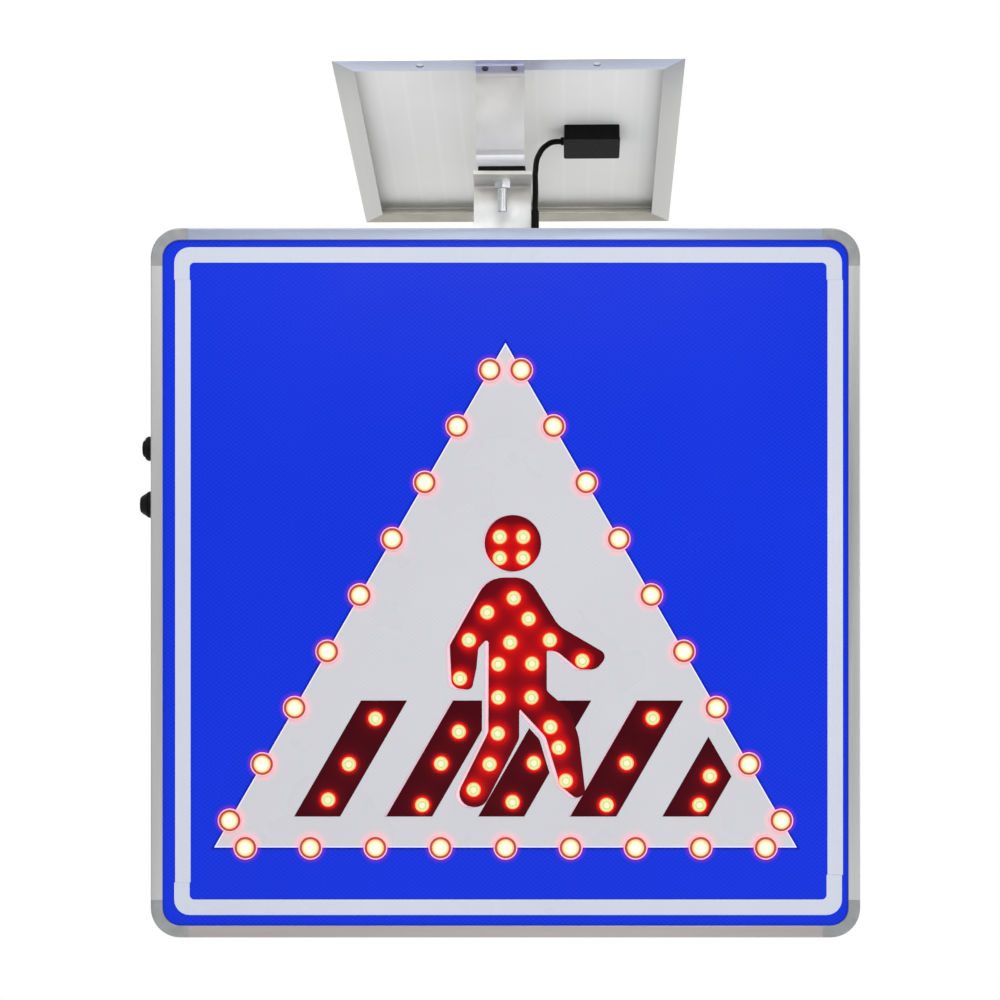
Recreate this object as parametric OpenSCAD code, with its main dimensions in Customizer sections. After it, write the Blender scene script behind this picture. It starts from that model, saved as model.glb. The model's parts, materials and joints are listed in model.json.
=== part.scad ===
// Solar lit pedestrian-crossing sign: a shallow aluminium box with a lit face,
// and a solar panel that swivels on a bracket above it.
// Frame: +X to the right of the face, +Y to the rear, +Z up. The origin is the
// middle of the four rear studs, in the plane that the studs clamp against.

/* [Sign box] */
// Width of the sign
sign_w = 600; // [600:5:750]
// Height of the sign
sign_h = 600; // [600:5:750]
// Depth of the box from the front lip to the rear of the cover
box_d = 55; // [48:1:80]
// Width of the front lip around the face
lip_w = 10; // [8:0.5:12]
// Wall thickness of the frame rails and corners
frame_t = 2; // [1.5:0.1:2.5]
// Outer radius of the box corners
corner_r = 25; // [20:1:28]
// Length of a corner piece along each side
corner_len = 32; // [30:1:40]

/* [Face] */
// Thickness of the face plate
plate_t = 2; // [1.5:0.1:2.5]
// Thickness of each reflective film
film_t = 0.4; // [0.3:0.05:0.5]
// Width of the white border
border_w = 13; // [12:0.5:16]
// Gap between the front lip and the border
border_gap = 7.5; // [6:0.5:10]
// How far the hand-laid border sits to the right of the middle
border_dx = 2.2; // [-4:0.2:4]
// How far the hand-laid border sits above the middle
border_dz = 1.4; // [-4:0.2:4]
// Side of the white triangle
tri_side = 493; // [410:1:500]
// Height of the triangle's base above the underside of the sign
tri_up = 76; // [70:1:90]
// Thickness of the red window backing
backing_t = 3; // [2:0.5:4]

/* [Lights] */
// Lights on each side of the triangle
edge_led_n = 9; // [7:1:9]
// Distance from the triangle's corner to the first light
edge_led_margin = 26.5; // [25:0.5:32]
// Radius of an edge light's lens
edge_led_r = 8; // [7:0.1:8.5]
// Radius of a symbol light's lens
symbol_led_r = 6; // [4:0.1:6.2]

/* [Side fittings] */
// Height of the push switch above the middle of the sign
switch_z = 114; // [100:1:200]
// Height of the charging socket above the middle of the sign
socket_z = 66; // [0:1:75]
// Radius of the threaded barrels of the switch and the socket
barrel_r = 8.8; // [8:0.1:9]
// Travel of the push switch
switch_travel = 2; // [1:0.1:2.2]

/* [Bracket] */
// Sideways place of the bracket
bracket_x = -2.5; // [-10:0.5:10]
// Width of the upright
upright_w = 50; // [44:1:50]
// Height of the upright's shelf above the box
upright_rise = 48; // [40:1:55]
// Thickness of the bracket's steel
bracket_t = 3; // [2.5:0.5:4]
// Diameter of the swivel bolt
swivel_d = 8; // [6:1:10]
// Thickness of the rubber pad
pad_t = 4; // [2:0.5:6]
// Width of the strap under the panel
strap_w = 40; // [36:1:44]

/* [Solar panel] */
// Width of the panel
panel_w = 290; // [260:5:350]
// Length of the panel down its slope
panel_l = 299; // [280:1:360]
// Thickness of the panel's frame
panel_t = 17; // [15:0.5:20]
// Slope of the panel
panel_tilt = 18.2; // [15:0.1:20]
// Height of the panel's front edge above the box
panel_rise = 130.6; // [125:0.2:145]
// How far the panel reaches in front of the face
panel_reach = 53; // [45:1:60]
// Turn of the panel on its swivel as it was set
panel_turn = -2; // [-5:1:5]
// Sideways place of the panel on its strap
panel_dx = 7; // [-10:0.5:10]
// Width of the junction box
jbox_w = 49; // [45:1:55]

/* [Rear channels] */
// Length of each rear channel
channel_l = 400; // [380:10:500]
// Depth of the rear channels
channel_d = 15; // [13:1:20]
// Height of a rear channel's section
channel_h = 30; // [28:1:40]
// Width of the slot along each channel
channel_slot = 9; // [9:0.5:11]
// Distance between the channels' middles
channel_gap = 300; // [200:10:340]
// Distance between the two studs of a channel
stud_gap = 200; // [160:10:240]
// Diameter of the studs
stud_d = 8; // [6:1:8]
// Length of the studs behind the channels
stud_l = 28; // [20:1:40]

/* [Hidden] */
$fn = 64;
eps = 0.01;

// Box, from front to rear
cover_t = 1.5;
gasket_t = 1.5;
fit_gap = 0.1;
face_y = -(channel_d + box_d);
cover_y = -channel_d - cover_t;
gasket_y = cover_y - gasket_t;
frame_d = gasket_y - face_y;
sheet_y = face_y + frame_t;
film_y = sheet_y - film_t;
plate_y = sheet_y + film_t;
plate_back_y = plate_y + plate_t;
backing_y = plate_back_y + backing_t;
board_y = backing_y + 2;
board_t = 1.6;
mid_y = face_y + 0.49 * box_d;
rib_d = plate_back_y - face_y + fit_gap;
rib_t = 1.5;
rib_w = 8;
flange_w = 14;
plate_edge_gap = 0.5;

// Corner joints
tongue_l = 14;
tongue_t = 2;
tongue_gap = 0.1;
rivet_r = 1.6;

// Screws
m4_r = 2;
m4_head_r = 3.8;
m4_head_h = 2.4;
m6_r = 3;
cover_screw_at = [-0.8, -0.27, 0.27, 0.8];
cover_screw_in = 8;

// Triangle and symbol. The symbol is drawn for a triangle of this side.
tri_z = -sign_h / 2 + tri_up;
art = tri_side / 493;
edge_led_pitch = (tri_side - 2 * edge_led_margin) / (edge_led_n - 1);
bezel_w = 1.05;
lens_rim = 1;
led_gap = 0.2;
window_gap = 0.15;

// Walker's outline, clockwise: [x, height above the triangle's base, corner radius]
WALKER = [[-15, 228.5, 24], [19.5, 228.5, 20], [45, 187.5, 25], [87, 163, 6],
  [77, 150.5, 10], [62, 150.5, 10], [43, 166.5, 14], [35, 166.3, 0.8], [35, 132.5, 5],
  [54, 116, 16], [62, 94, 40], [67.8, 45, 6.5], [60, 41, 5.5], [46.5, 52, 14],
  [38.5, 78, 30], [34, 93.5, 14], [11.7, 117.5, 0.8], [11.6, 92, 12], [-18.5, 34, 11.5],
  [-46, 34.5, 11.5], [-14.5, 97.5, 8], [-14.3, 178, 2], [-23, 168.5, 5],
  [-24.5, 152, 20], [-28.5, 133, 5], [-45.5, 135, 8], [-47.2, 171, 5]];
HEAD = [6.3, 257.4];
head_r = 24;
head_led_dx = 9.9;
head_led_dz = 8.9;
WALKER_LEDS = [[7, 211], [-15.5, 199], [19.5, 193.5], [-31, 175.5], [4, 173.5],
  [37.5, 175.5], [65, 158], [-38.5, 143], [-6, 155], [22.5, 155.5], [-6, 127],
  [22, 127], [-6.5, 96.5], [-13.5, 70.5], [-27, 49], [38, 102], [45, 84.5], [51, 56.5]];

// Zebra stripes beside and under the walker
stripe_n = 5;
stripe_x = -179;
stripe_pitch = 77.9;
stripe_w = 39.1;
stripe_up = 26.1;
stripe_h = 98.3;
stripe_edge_gap = 17.8;
STRIPE_LEDS = [[-110, 109], [-132.5, 70.5], [-150, 40.5], [-39.5, 98], [-54.5, 71],
  [-70.5, 36], [24, 71.5], [6, 38.5], [124.5, 109.5], [102.5, 71.5], [85.5, 36],
  [173, 60.5], [164, 36]];

// The symbol's film was laid a little to the left of the windows
walker_slip = [-3.2, -0.8];
walker_grow = 2.2;
stripe_slip = [-1.6, 0];

// Side fittings
barrel_l = 21;
barrel_hole_r = barrel_r + 0.2;
button_r = barrel_r - 1.6;
stem_r = 4;
stem_l = 8;
running_gap = 0.07;

// Bracket and swivel
swivel_y = face_y + 22;
shelf_z = sign_h / 2 + upright_rise;
strap_z = shelf_z + pad_t;
upright_y = -channel_d;
upright_foot_z = sign_h / 2 - 65;
upright_bolt_drop = [25, 50];
upright_bolt_dx = 14;
bend_r = 3;
strap_bend_r = 5;
bolt_tail = 20;
swivel_hole_r = swivel_d / 2 + 0.08;
washer_t = 1.6;
nut_h = 0.8 * swivel_d;
nut_r = 0.94 * swivel_d;

// Panel
panel_front_y = face_y - panel_reach;
panel_front_z = sign_h / 2 + panel_rise;
panel_wall = 1.5;
panel_lip = 6;
panel_flange = 17;
lip_t = 1.2;
glass_t = 2.5;
cell_t = 0.3;
sheet_back_t = 0.4;
laminate_gap = 0.1;
seat_w = panel_t - lip_t - glass_t - cell_t - sheet_back_t - 2 * laminate_gap;
laminate_in = panel_wall + 0.3;
cell_cols = 12;
cell_rows = 3;
cell_space = 1.5;
jbox_x = 70;
jbox_l = 35;
jbox_h = 12;
jbox_lid_h = 3;
jbox_boss_r = 3.6;
jbox_boss_l = 3;
jbox_boss_w = 7;
strap_leg_back = 16;
strap_screw_dx = 12;
strap_screw_in = 8.5;
strap_screw_r = 1.5;
strap_head_r = 2.7;
drain_hole_x = 73;
drain_hole_r = 3.3;

// Cable from the junction box down to the gland, its points measured from the gland's top
cable_d = 5;
CABLE = [[24, 59, 70], [16.5, 57.5, 69], [11, 54, 65.5], [7, 49, 61], [4.5, 44, 56],
  [2.5, 38.5, 51], [1.5, 33.5, 45.5], [1, 28, 40], [0.5, 22.5, 34], [0.5, 18, 28.5],
  [0.5, 13, 22.5], [0.5, 8.5, 16.5], [0.3, 4.5, 11], [0, 1.5, 5.5], [0, 0, 0]];
gland_x = bracket_x + 28;
gland_y = face_y + 30;
gland_h = 19;
gland_r = 3.4;
gland_l = 8;

// Leads inside the box
lead_r = 1.6;
lead_bends = 8;

// Controller and battery on the inside of the cover
controller_w = 80;
controller_h = 60;
controller_z = 110;
standoff_h = 6;
battery_w = 150;
battery_h = 70;
battery_d = 22;
battery_z = -60;
clip_w = 30;
clip_foot = 16;
terminal_w = 56;
terminal_h = 11;
terminal_d = 14;
terminal_y = cover_y - standoff_h - terminal_d / 2;

// Rear channels
channel_t = 2;
slot_w = max(channel_slot, stud_d + 1);
stud_head_x = 14;
stud_head_d = 5;
CHANNEL_RIVETS = [-0.85, -0.3, 0.3, 0.85];

// ---------- drawing helpers ----------

function unit(v) = v / norm(v);
function right_of(u) = [u[1], -u[0]];
function left_of(u) = [-u[1], u[0]];
function turn(a, b) = a[0] * b[1] - a[1] * b[0];
function xy(p) = [p[0], p[1]];

// Points of a rounded corner at b, between the corners a and c
function corner_arc(a, b, c, r, n = 6) =
  let (u = unit(a - b), v = unit(c - b), half = acos(u * v) / 2)
  r < eps || half > 89.9 ? [b] :
  let (t = r / tan(half), mid = b + unit(u + v) * r / sin(half),
    from = b + u * t - mid, swing = turn(from, b + v * t - mid) > 0 ? 1 : -1)
  [for (i = [0:n]) let (s = swing * (180 - 2 * half) * i / n)
    mid + [from[0] * cos(s) - from[1] * sin(s), from[0] * sin(s) + from[1] * cos(s)]];

// Closed outline of corners [x, y, radius]
function rounded(c) = let (n = len(c))
  [for (i = [0:n - 1]) each
    corner_arc(xy(c[(i + n - 1) % n]), xy(c[i]), xy(c[(i + 1) % n]), c[i][2])];

// Clockwise corners moved inwards by d, with their radii kept concentric
function inset(c, d) = let (n = len(c))
  [for (i = [0:n - 1])
    let (a = unit(xy(c[i]) - xy(c[(i + n - 1) % n])), b = unit(xy(c[(i + 1) % n]) - xy(c[i])),
      na = right_of(a), nb = right_of(b), p = xy(c[i]) + d * (na + nb) / (1 + na * nb))
    [p[0], p[1], max(0, c[i][2] + (turn(a, b) > 0 ? d : -d))]];

// Clockwise corners of a rectangle about the origin
function rect_corners(w, h, r) =
  [[-w / 2, h / 2, r], [w / 2, h / 2, r], [w / 2, -h / 2, r], [-w / 2, -h / 2, r]];

// Section of a bar of thickness t bent along a path, with its body to the path's left
function bent_bar(path, t, r) = let (n = len(path),
    dir = [for (i = [0:n - 2]) unit(path[i + 1] - path[i])],
    bend = [for (i = [0:n - 1]) i == 0 || i == n - 1 ? 0 : turn(dir[i - 1], dir[i])],
    near = [for (i = [0:n - 1]) [path[i][0], path[i][1],
      bend[i] == 0 ? 0 : bend[i] > 0 ? r + t : r]],
    far = [for (i = [n - 1:-1:0])
      let (a = left_of(dir[max(i - 1, 0)]), b = left_of(dir[min(i, n - 2)]),
        p = path[i] + t * (a + b) / (1 + a * b))
      [p[0], p[1], bend[i] == 0 ? 0 : bend[i] > 0 ? r : r + t]])
  rounded(concat(near, far));

// Flat piece drawn in X and Z, between two depths
module slab(y0, y1) {
  translate([0, y1, 0]) rotate([90, 0, 0]) linear_extrude(y1 - y0) children();
}

// Piece drawn in Y and Z, of width w about x = 0
module rolled(w) {
  rotate([90, 0, 90]) linear_extrude(w, center = true) children();
}

// Turned piece whose axis points out of the face, with z = 0 at depth y
module facing(y) {
  translate([0, y, 0]) rotate([90, 0, 0]) children();
}

module turned(profile) {
  rotate_extrude() polygon(profile);
}

// Round tube through a list of points. Its ends are square to from and to.
module tube(path, r, from, to, sides = 8, ref = [0, 1, 0]) {
  n = len(path);
  rings = [for (i = [0:n - 1])
    let (t = i == 0 ? from : i == n - 1 ? to : unit(path[i + 1] - path[i - 1]),
      s = unit(cross(t, ref)), u = cross(s, t))
    each [for (k = [0:sides - 1])
      path[i] + r * (cos(360 * k / sides) * s + sin(360 * k / sides) * u)]];
  walls = [for (i = [0:n - 2], k = [0:sides - 1]) let (k2 = (k + 1) % sides)
    [i * sides + k, i * sides + k2, (i + 1) * sides + k2, (i + 1) * sides + k]];
  caps = [[for (k = [sides - 1:-1:0]) k], [for (k = [0:sides - 1]) (n - 1) * sides + k]];
  polyhedron(rings, concat(walls, caps));
}

// Blind rivet standing out along +Z from a surface at z = 0
module rivet(grip) {
  turned([[0, -grip - 1.6], [2, -grip - 1.6], [2.5, -grip - 0.8], [2.5, -grip - fit_gap],
    [rivet_r - 0.05, -grip - fit_gap], [rivet_r - 0.05, 0], [3.2, 0], [3, 0.6], [2, 1.1],
    [0, 1.3]]);
}

// Cross-recessed pan-head screw, its head standing along +Z from z = 0
module pan_screw(r, head_r, head_h, length) {
  difference() {
    turned([[0, -length], [r * 0.7, -length], [r, -length + 1], [r, 0], [head_r, 0],
      [head_r, head_h * 0.5], [head_r * 0.85, head_h * 0.85], [head_r * 0.5, head_h], [0, head_h]]);
    for (a = [0, 90]) rotate([0, 0, a])
      translate([-head_r * 0.55, -head_r * 0.11, head_h * 0.45])
        cube([head_r * 1.1, head_r * 0.22, head_h]);
  }
}

module hex_nut(r, bore_r, h) {
  difference() {
    cylinder(r = r, h = h, $fn = 6);
    translate([0, 0, -1]) cylinder(r = bore_r, h = h + 2);
  }
}

// ---------- box frame ----------

// Rail section: x is the distance inwards from the outer wall, y the depth
module rail_section() {
  polygon([[0, 1], [0.3, 0.3], [1, 0], [lip_w - 0.5, 0], [lip_w, 0.5], [lip_w, frame_t],
    [frame_t, frame_t], [frame_t, rib_d], [rib_w, rib_d], [rib_w, rib_d + rib_t],
    [frame_t, rib_d + rib_t], [frame_t, frame_d - frame_t], [flange_w, frame_d - frame_t],
    [flange_w, frame_d], [0.6, frame_d], [0, frame_d - 0.6]]);
}

module rail(length) {
  linear_extrude(length, center = true) rail_section();
}

module side_rail(length, z = 0) {
  translate([-sign_w / 2, face_y, z]) rail(length);
}

module base_rail(length, x = 0) {
  translate([x, face_y, -sign_h / 2]) rotate([0, -90, 0]) rail(length);
}

// Places of the rivets that hold the corner pieces' tongues, along +Z out of the box
module rivet_places() {
  in = corner_len + tongue_l / 2;
  for (sx = [-1, 1], sz = [-1, 1]) {
    translate([sx * (sign_w / 2 - in), mid_y, sz * sign_h / 2])
      rotate([sz > 0 ? 0 : 180, 0, 0]) children();
    translate([sx * sign_w / 2, mid_y, sz * (sign_h / 2 - in)])
      rotate([0, sx * 90, 0]) children();
  }
}

module rivet_holes() {
  rivet_places() cylinder(r = rivet_r, h = 14, center = true);
}

module cover_screw_places() {
  for (a = cover_screw_at, s = [-1, 1]) {
    translate([a * sign_w / 2, 0, s * (sign_h / 2 - cover_screw_in)]) children();
    translate([s * (sign_w / 2 - cover_screw_in), 0, a * sign_h / 2]) children();
  }
}

module cover_screw_holes(r) {
  cover_screw_places() slab(gasket_y - 4, 0) circle(r);
}

module frame_rail_bottom() {
  color("lightgray") difference() {
    base_rail(sign_w - 2 * corner_len);
    rivet_holes();
    cover_screw_holes(m4_r + 0.05);
  }
}

module frame_rail_top() {
  color("lightgray") difference() {
    mirror([0, 0, 1]) base_rail(sign_w - 2 * corner_len);
    rivet_holes();
    cover_screw_holes(m4_r + 0.05);
    translate([gland_x, gland_y, sign_h / 2]) cylinder(r = gland_r + fit_gap, h = 20, center = true);
  }
}

module frame_rail_left() {
  color("lightgray") difference() {
    side_rail(sign_h - 2 * corner_len);
    rivet_holes();
    cover_screw_holes(m4_r + 0.05);
    for (z = [switch_z, socket_z]) translate([-sign_w / 2, mid_y, z])
      rotate([0, 90, 0]) cylinder(r = barrel_hole_r, h = 10, center = true);
  }
}

module frame_rail_right() {
  color("lightgray") difference() {
    mirror([1, 0, 0]) side_rail(sign_h - 2 * corner_len);
    rivet_holes();
    cover_screw_holes(m4_r + 0.05);
  }
}

// Lower right corner, with a tongue into each of its rails
module corner_piece() {
  leg = corner_len - corner_r;
  tongue_y = face_y + rib_d + rib_t + 2;
  tongue_d = frame_d - rib_d - rib_t - frame_t - 4;
  difference() {
    union() {
      translate([sign_w / 2 - corner_r, face_y, -sign_h / 2 + corner_r]) rotate([-90, 0, 0])
        rotate_extrude(angle = 90) translate([corner_r, 0]) mirror([1, 0]) rail_section();
      base_rail(leg, sign_w / 2 - corner_r - leg / 2);
      mirror([1, 0, 0]) side_rail(leg, -sign_h / 2 + corner_r + leg / 2);
      translate([sign_w / 2 - corner_len - tongue_l, tongue_y, -sign_h / 2 + frame_t + tongue_gap])
        cube([tongue_l + leg, tongue_d, tongue_t]);
      translate([sign_w / 2 - corner_len, tongue_y, -sign_h / 2 + frame_t / 2])
        cube([leg, tongue_d, frame_t / 2 + tongue_gap + tongue_t]);
      translate([sign_w / 2 - frame_t - tongue_gap - tongue_t, tongue_y, -sign_h / 2 + corner_r])
        cube([tongue_t, tongue_d, tongue_l + leg]);
      translate([sign_w / 2 - frame_t - tongue_gap - tongue_t, tongue_y, -sign_h / 2 + corner_r])
        cube([frame_t / 2 + tongue_gap + tongue_t, tongue_d, leg]);
    }
    rivet_holes();
  }
}

module corner_pieces() {
  color("gray") for (sx = [0, 1], sz = [0, 1])
    mirror([sx, 0, 0]) mirror([0, 0, sz]) corner_piece();
}

module corner_rivets() {
  color("silver") rivet_places() rivet(frame_t + tongue_gap + tongue_t);
}

// ---------- face ----------

module plate_outline() {
  w = sign_w - 2 * (frame_t + plate_edge_gap);
  h = sign_h - 2 * (frame_t + plate_edge_gap);
  polygon(rounded(rect_corners(w, h, corner_r - frame_t - plate_edge_gap)));
}

// Triangle of the face, moved inwards by d
module triangle(d = 0) {
  side = tri_side - 2 * d * sqrt(3);
  polygon([[-side / 2, tri_z + d], [0, tri_z + d + side * sqrt(3) / 2], [side / 2, tri_z + d]]);
}

module in_triangle() {
  translate([0, tri_z]) children();
}

module walker_shape(d = 0) {
  in_triangle() scale(art) polygon(rounded(inset(WALKER, d / art)));
}

module head_shape(d = 0) {
  in_triangle() translate(HEAD * art) circle(head_r * art - d);
}

// One zebra stripe, cut back where the walker crosses it and at the triangle's side
module stripe_shape(i, d = 0) {
  lean = stripe_h / sqrt(3);
  x = stripe_x + i * stripe_pitch;
  difference() {
    intersection() {
      in_triangle() scale(art) polygon(rounded(inset([[x + lean, stripe_up + stripe_h, 0],
        [x + lean + stripe_w, stripe_up + stripe_h, 0], [x + stripe_w, stripe_up, 0],
        [x, stripe_up, 0]], d / art)));
      triangle(stripe_edge_gap + d);
    }
    translate(walker_slip * art) walker_shape(-walker_grow - d);
  }
}

module window_openings() {
  walker_shape();
  head_shape();
  for (i = [0:stripe_n - 1]) stripe_shape(i);
}

// Openings of the films, which lie a little to the left of the windows
module film_openings() {
  window_openings();
  translate(walker_slip * art) walker_shape();
  translate(walker_slip * art / 2) head_shape();
  for (i = [1, 3]) translate(stripe_slip * art) stripe_shape(i);
}

// Places of the lights along the three sides, in X and Z
module edge_led_places(n = edge_led_n, first = edge_led_margin, step = edge_led_pitch) {
  centre = [0, tri_z + tri_side / sqrt(12)];
  for (a = [0, 120, 240], i = [0:n - 1])
    translate(centre) rotate(a) translate([-tri_side / 2 + first + i * step, -tri_side / sqrt(12)])
      children();
}

module symbol_led_places() {
  in_triangle() {
    for (p = concat(WALKER_LEDS, STRIPE_LEDS)) translate(p * art) children();
    for (sx = [-1, 1], sz = [-1, 1])
      translate((HEAD + [-1.2 + sx * head_led_dx, -3.5 + sz * head_led_dz]) * art) children();
  }
}

module face_plate() {
  color("whitesmoke") slab(plate_y, plate_back_y) difference() {
    plate_outline();
    window_openings();
    edge_led_places() circle(edge_led_r + led_gap);
    symbol_led_places() circle(symbol_led_r + led_gap);
  }
}

module blue_sheeting() {
  color("mediumblue") slab(sheet_y, plate_y) difference() {
    plate_outline();
    film_openings();
    edge_led_places() circle(edge_led_r + led_gap);
    symbol_led_places() circle(symbol_led_r + led_gap);
  }
}

module border_ring() {
  w = sign_w - 2 * (lip_w + border_gap);
  h = sign_h - 2 * (lip_w + border_gap);
  difference() {
    polygon(rounded(rect_corners(w, h, 13)));
    polygon(rounded(rect_corners(w - 2 * border_w, h - 2 * border_w, 4)));
  }
}

// Upper and lower bands with the rounded corners, and two straight side strips between them
module border_strips() {
  w = sign_w - 2 * (lip_w + border_gap);
  h = sign_h - 2 * (lip_w + border_gap);
  band = 27.5;
  right_band = 34;
  slip = 0.8;
  color("white") translate([border_dx, 0, border_dz]) slab(film_y, sheet_y) {
    intersection() {
      border_ring();
      translate([-w, h / 2 - band]) square([2 * w, band + 1]);
    }
    intersection() {
      border_ring();
      polygon([[-w, -h], [w, -h], [w, -h / 2 + right_band], [0, -h / 2 + right_band],
        [0, -h / 2 + band], [-w, -h / 2 + band]]);
    }
    translate([-w / 2 + slip, -h / 2 + band + fit_gap])
      square([border_w, h - 2 * band - 2 * fit_gap]);
    translate([w / 2 - border_w + slip, -h / 2 + right_band + fit_gap])
      square([border_w, h - band - right_band - 2 * fit_gap]);
  }
}

module triangle_film() {
  color("gainsboro") slab(film_y, sheet_y) difference() {
    triangle();
    film_openings();
    edge_led_places() circle(edge_led_r + led_gap);
    symbol_led_places() circle(symbol_led_r + led_gap);
  }
}

module walker_window() {
  color("darkred") slab(sheet_y, plate_back_y) difference() {
    union() {
      walker_shape(window_gap);
      head_shape(window_gap);
    }
    symbol_led_places() circle(symbol_led_r + led_gap);
  }
}

module stripe_windows() {
  color("maroon") slab(sheet_y, plate_back_y) difference() {
    for (i = [0:stripe_n - 1]) stripe_shape(i, window_gap);
    walker_shape(-window_gap);
    symbol_led_places() circle(symbol_led_r + led_gap);
  }
}

// Triangle cut off level above the head
module backing_outline(d) {
  top = tri_z + (HEAD[1] + head_r) * art + 12 - d;
  intersection() {
    triangle(14 + d);
    translate([-sign_w / 2, tri_z]) square([sign_w, top - tri_z]);
  }
}

module window_backing() {
  color("firebrick") slab(plate_back_y, backing_y) difference() {
    backing_outline(0);
    symbol_led_places() circle(symbol_led_r + led_gap);
  }
}

// ---------- lights ----------

module edge_led_bezels() {
  in_r = edge_led_r + lens_rim + 0.15;
  out_r = in_r + bezel_w;
  color("mistyrose") facing(film_y) edge_led_places()
    turned([[in_r, 0], [out_r, 0], [out_r, 1], [out_r - 0.4, 1.5], [in_r + 0.15, 1.5], [in_r, 1.3]]);
}

module edge_led_lenses() {
  r = edge_led_r;
  color("orange") facing(film_y) edge_led_places()
    turned([[0, film_y - board_y], [r, film_y - board_y], [r, 0], [r + lens_rim, 0],
      [r + lens_rim, 0.5], [r, 0.7], [r * 0.92, 1.5], [r * 0.75, 2.2], [r * 0.5, 2.8],
      [r * 0.25, 3.1], [0, 3.2]]);
}

module symbol_led_lenses() {
  r = symbol_led_r;
  color("gold") facing(sheet_y) symbol_led_places()
    turned([[0, sheet_y - board_y], [r, sheet_y - board_y], [r, 0.6], [r * 0.93, 1.4],
      [r * 0.75, 2.1], [r * 0.5, 2.6], [r * 0.25, 2.9], [0, 3]]);
}

// One strip board behind each side of the triangle
module edge_led_boards() {
  past_led = 8;
  color("darkgreen") slab(board_y, board_y + board_t)
    edge_led_places(1, edge_led_margin - past_led)
      translate([0, -7]) square([tri_side - 2 * (edge_led_margin - past_led), 14]);
}

module symbol_led_board() {
  color("darkgreen") slab(board_y, board_y + board_t) backing_outline(3);
}

module board_spacers() {
  color("ivory") {
    facing(board_y) for (k = [0.5, 2.5, edge_led_n - 3.5, edge_led_n - 1.5])
      edge_led_places(1, edge_led_margin + k * edge_led_pitch)
        cylinder(r = 3, h = board_y - plate_back_y);
    facing(board_y) in_triangle()
      for (p = [[-190, 21], [190, 21], [-95, 20], [118, 20], [-75, 150], [100, 160], [-30, 270]])
        translate(p * art) cylinder(r = 3, h = board_y - backing_y);
  }
}

// ---------- cover, battery and controller ----------

module gasket() {
  in = 1.5;
  color("black") slab(gasket_y, cover_y) difference() {
    polygon(rounded(rect_corners(sign_w - 2 * in, sign_h - 2 * in, corner_r - in)));
    polygon(rounded(rect_corners(sign_w - 2 * flange_w, sign_h - 2 * flange_w, corner_r - flange_w)));
    cover_screw_places_flat() circle(m4_r + 0.2);
  }
}

module cover_screw_places_flat() {
  for (a = cover_screw_at, s = [-1, 1]) {
    translate([a * sign_w / 2, s * (sign_h / 2 - cover_screw_in)]) children();
    translate([s * (sign_w / 2 - cover_screw_in), a * sign_h / 2]) children();
  }
}

module upright_bolt_places() {
  for (sx = [-1, 1], drop = upright_bolt_drop)
    translate([bracket_x + sx * upright_bolt_dx, sign_h / 2 - drop]) children();
}

module channel_rivet_places() {
  for (a = CHANNEL_RIVETS, s = [-1, 1]) translate([a * channel_l / 2, s * channel_gap / 2]) children();
}

module clip_screw_places() {
  for (s = [-1, 1]) translate([s * (battery_w / 2 + clip_foot / 2 + 1), battery_z]) children();
}

module standoff_places() {
  for (sx = [-1, 1], sz = [-1, 1])
    translate([sx * (controller_w / 2 - 5), controller_z + sz * (controller_h / 2 - 5)]) children();
}

module back_cover() {
  in = 0.5;
  color("silver") slab(cover_y, -channel_d) difference() {
    polygon(rounded(rect_corners(sign_w - 2 * in, sign_h - 2 * in, corner_r - in)));
    cover_screw_places_flat() circle(m4_r + 0.25);
    upright_bolt_places() circle(m6_r + 0.2);
    channel_rivet_places() circle(rivet_r);
    clip_screw_places() circle(m4_r + 0.05);
  }
}

// Screws along the cover's edge, and the two that hold the battery clip from inside
module cover_screws() {
  color("silver") {
    cover_screw_places() translate([0, -channel_d, 0]) rotate([-90, 0, 0])
      pan_screw(m4_r, m4_head_r, m4_head_h, cover_t + gasket_t + frame_t + 3);
    facing(cover_y - bracket_t + 1) clip_screw_places()
      pan_screw(m4_r, m4_head_r, m4_head_h, bracket_t - 1 + cover_t);
  }
}

module battery_pack() {
  color("royalblue") slab(cover_y - battery_d, cover_y) translate([0, battery_z])
    polygon(rounded(rect_corners(battery_w, battery_h, 9)));
}

// Flat clip over the pack, with a foot on each side
module battery_bracket() {
  t = bracket_t - 1;
  x = battery_w / 2 + 1;
  top = battery_d + 0.5;
  color("lightgray") translate([0, cover_y, battery_z]) rotate([180, 0, 0])
    translate([0, 0, -clip_w / 2]) difference() {
      linear_extrude(clip_w)
        polygon([[-x - clip_foot, 0], [-x, 0], [-x, top], [x, top], [x, 0], [x + clip_foot, 0],
          [x + clip_foot, t], [x + t, t], [x + t, top + t], [-x - t, top + t], [-x - t, t],
          [-x - clip_foot, t]]);
      for (sx = [-1, 1]) translate([sx * (battery_w / 2 + clip_foot / 2 + 1), -1, clip_w / 2])
        rotate([-90, 0, 0]) cylinder(r = m4_r + 0.05, h = t + 2);
    }
}

module controller_board() {
  color("green") difference() {
    union() {
      slab(cover_y - standoff_h - board_t, cover_y - standoff_h)
        translate([-controller_w / 2, controller_z - controller_h / 2])
          square([controller_w, controller_h]);
      for (s = [-1, 1]) slab(cover_y - standoff_h - terminal_d, cover_y - standoff_h - board_t / 2)
        translate([0, controller_z + s * (controller_h / 2 - 2 - terminal_h / 2)])
          square([terminal_w, terminal_h], center = true);
      slab(cover_y - standoff_h - 12, cover_y - standoff_h - board_t / 2)
        translate([14, controller_z]) circle(7);
      slab(cover_y - standoff_h - 6, cover_y - standoff_h - board_t / 2)
        translate([-26, controller_z - 8]) square([22, 16]);
    }
    facing(cover_y) standoff_places() cylinder(r = 1.6, h = 20);
  }
}

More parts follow.
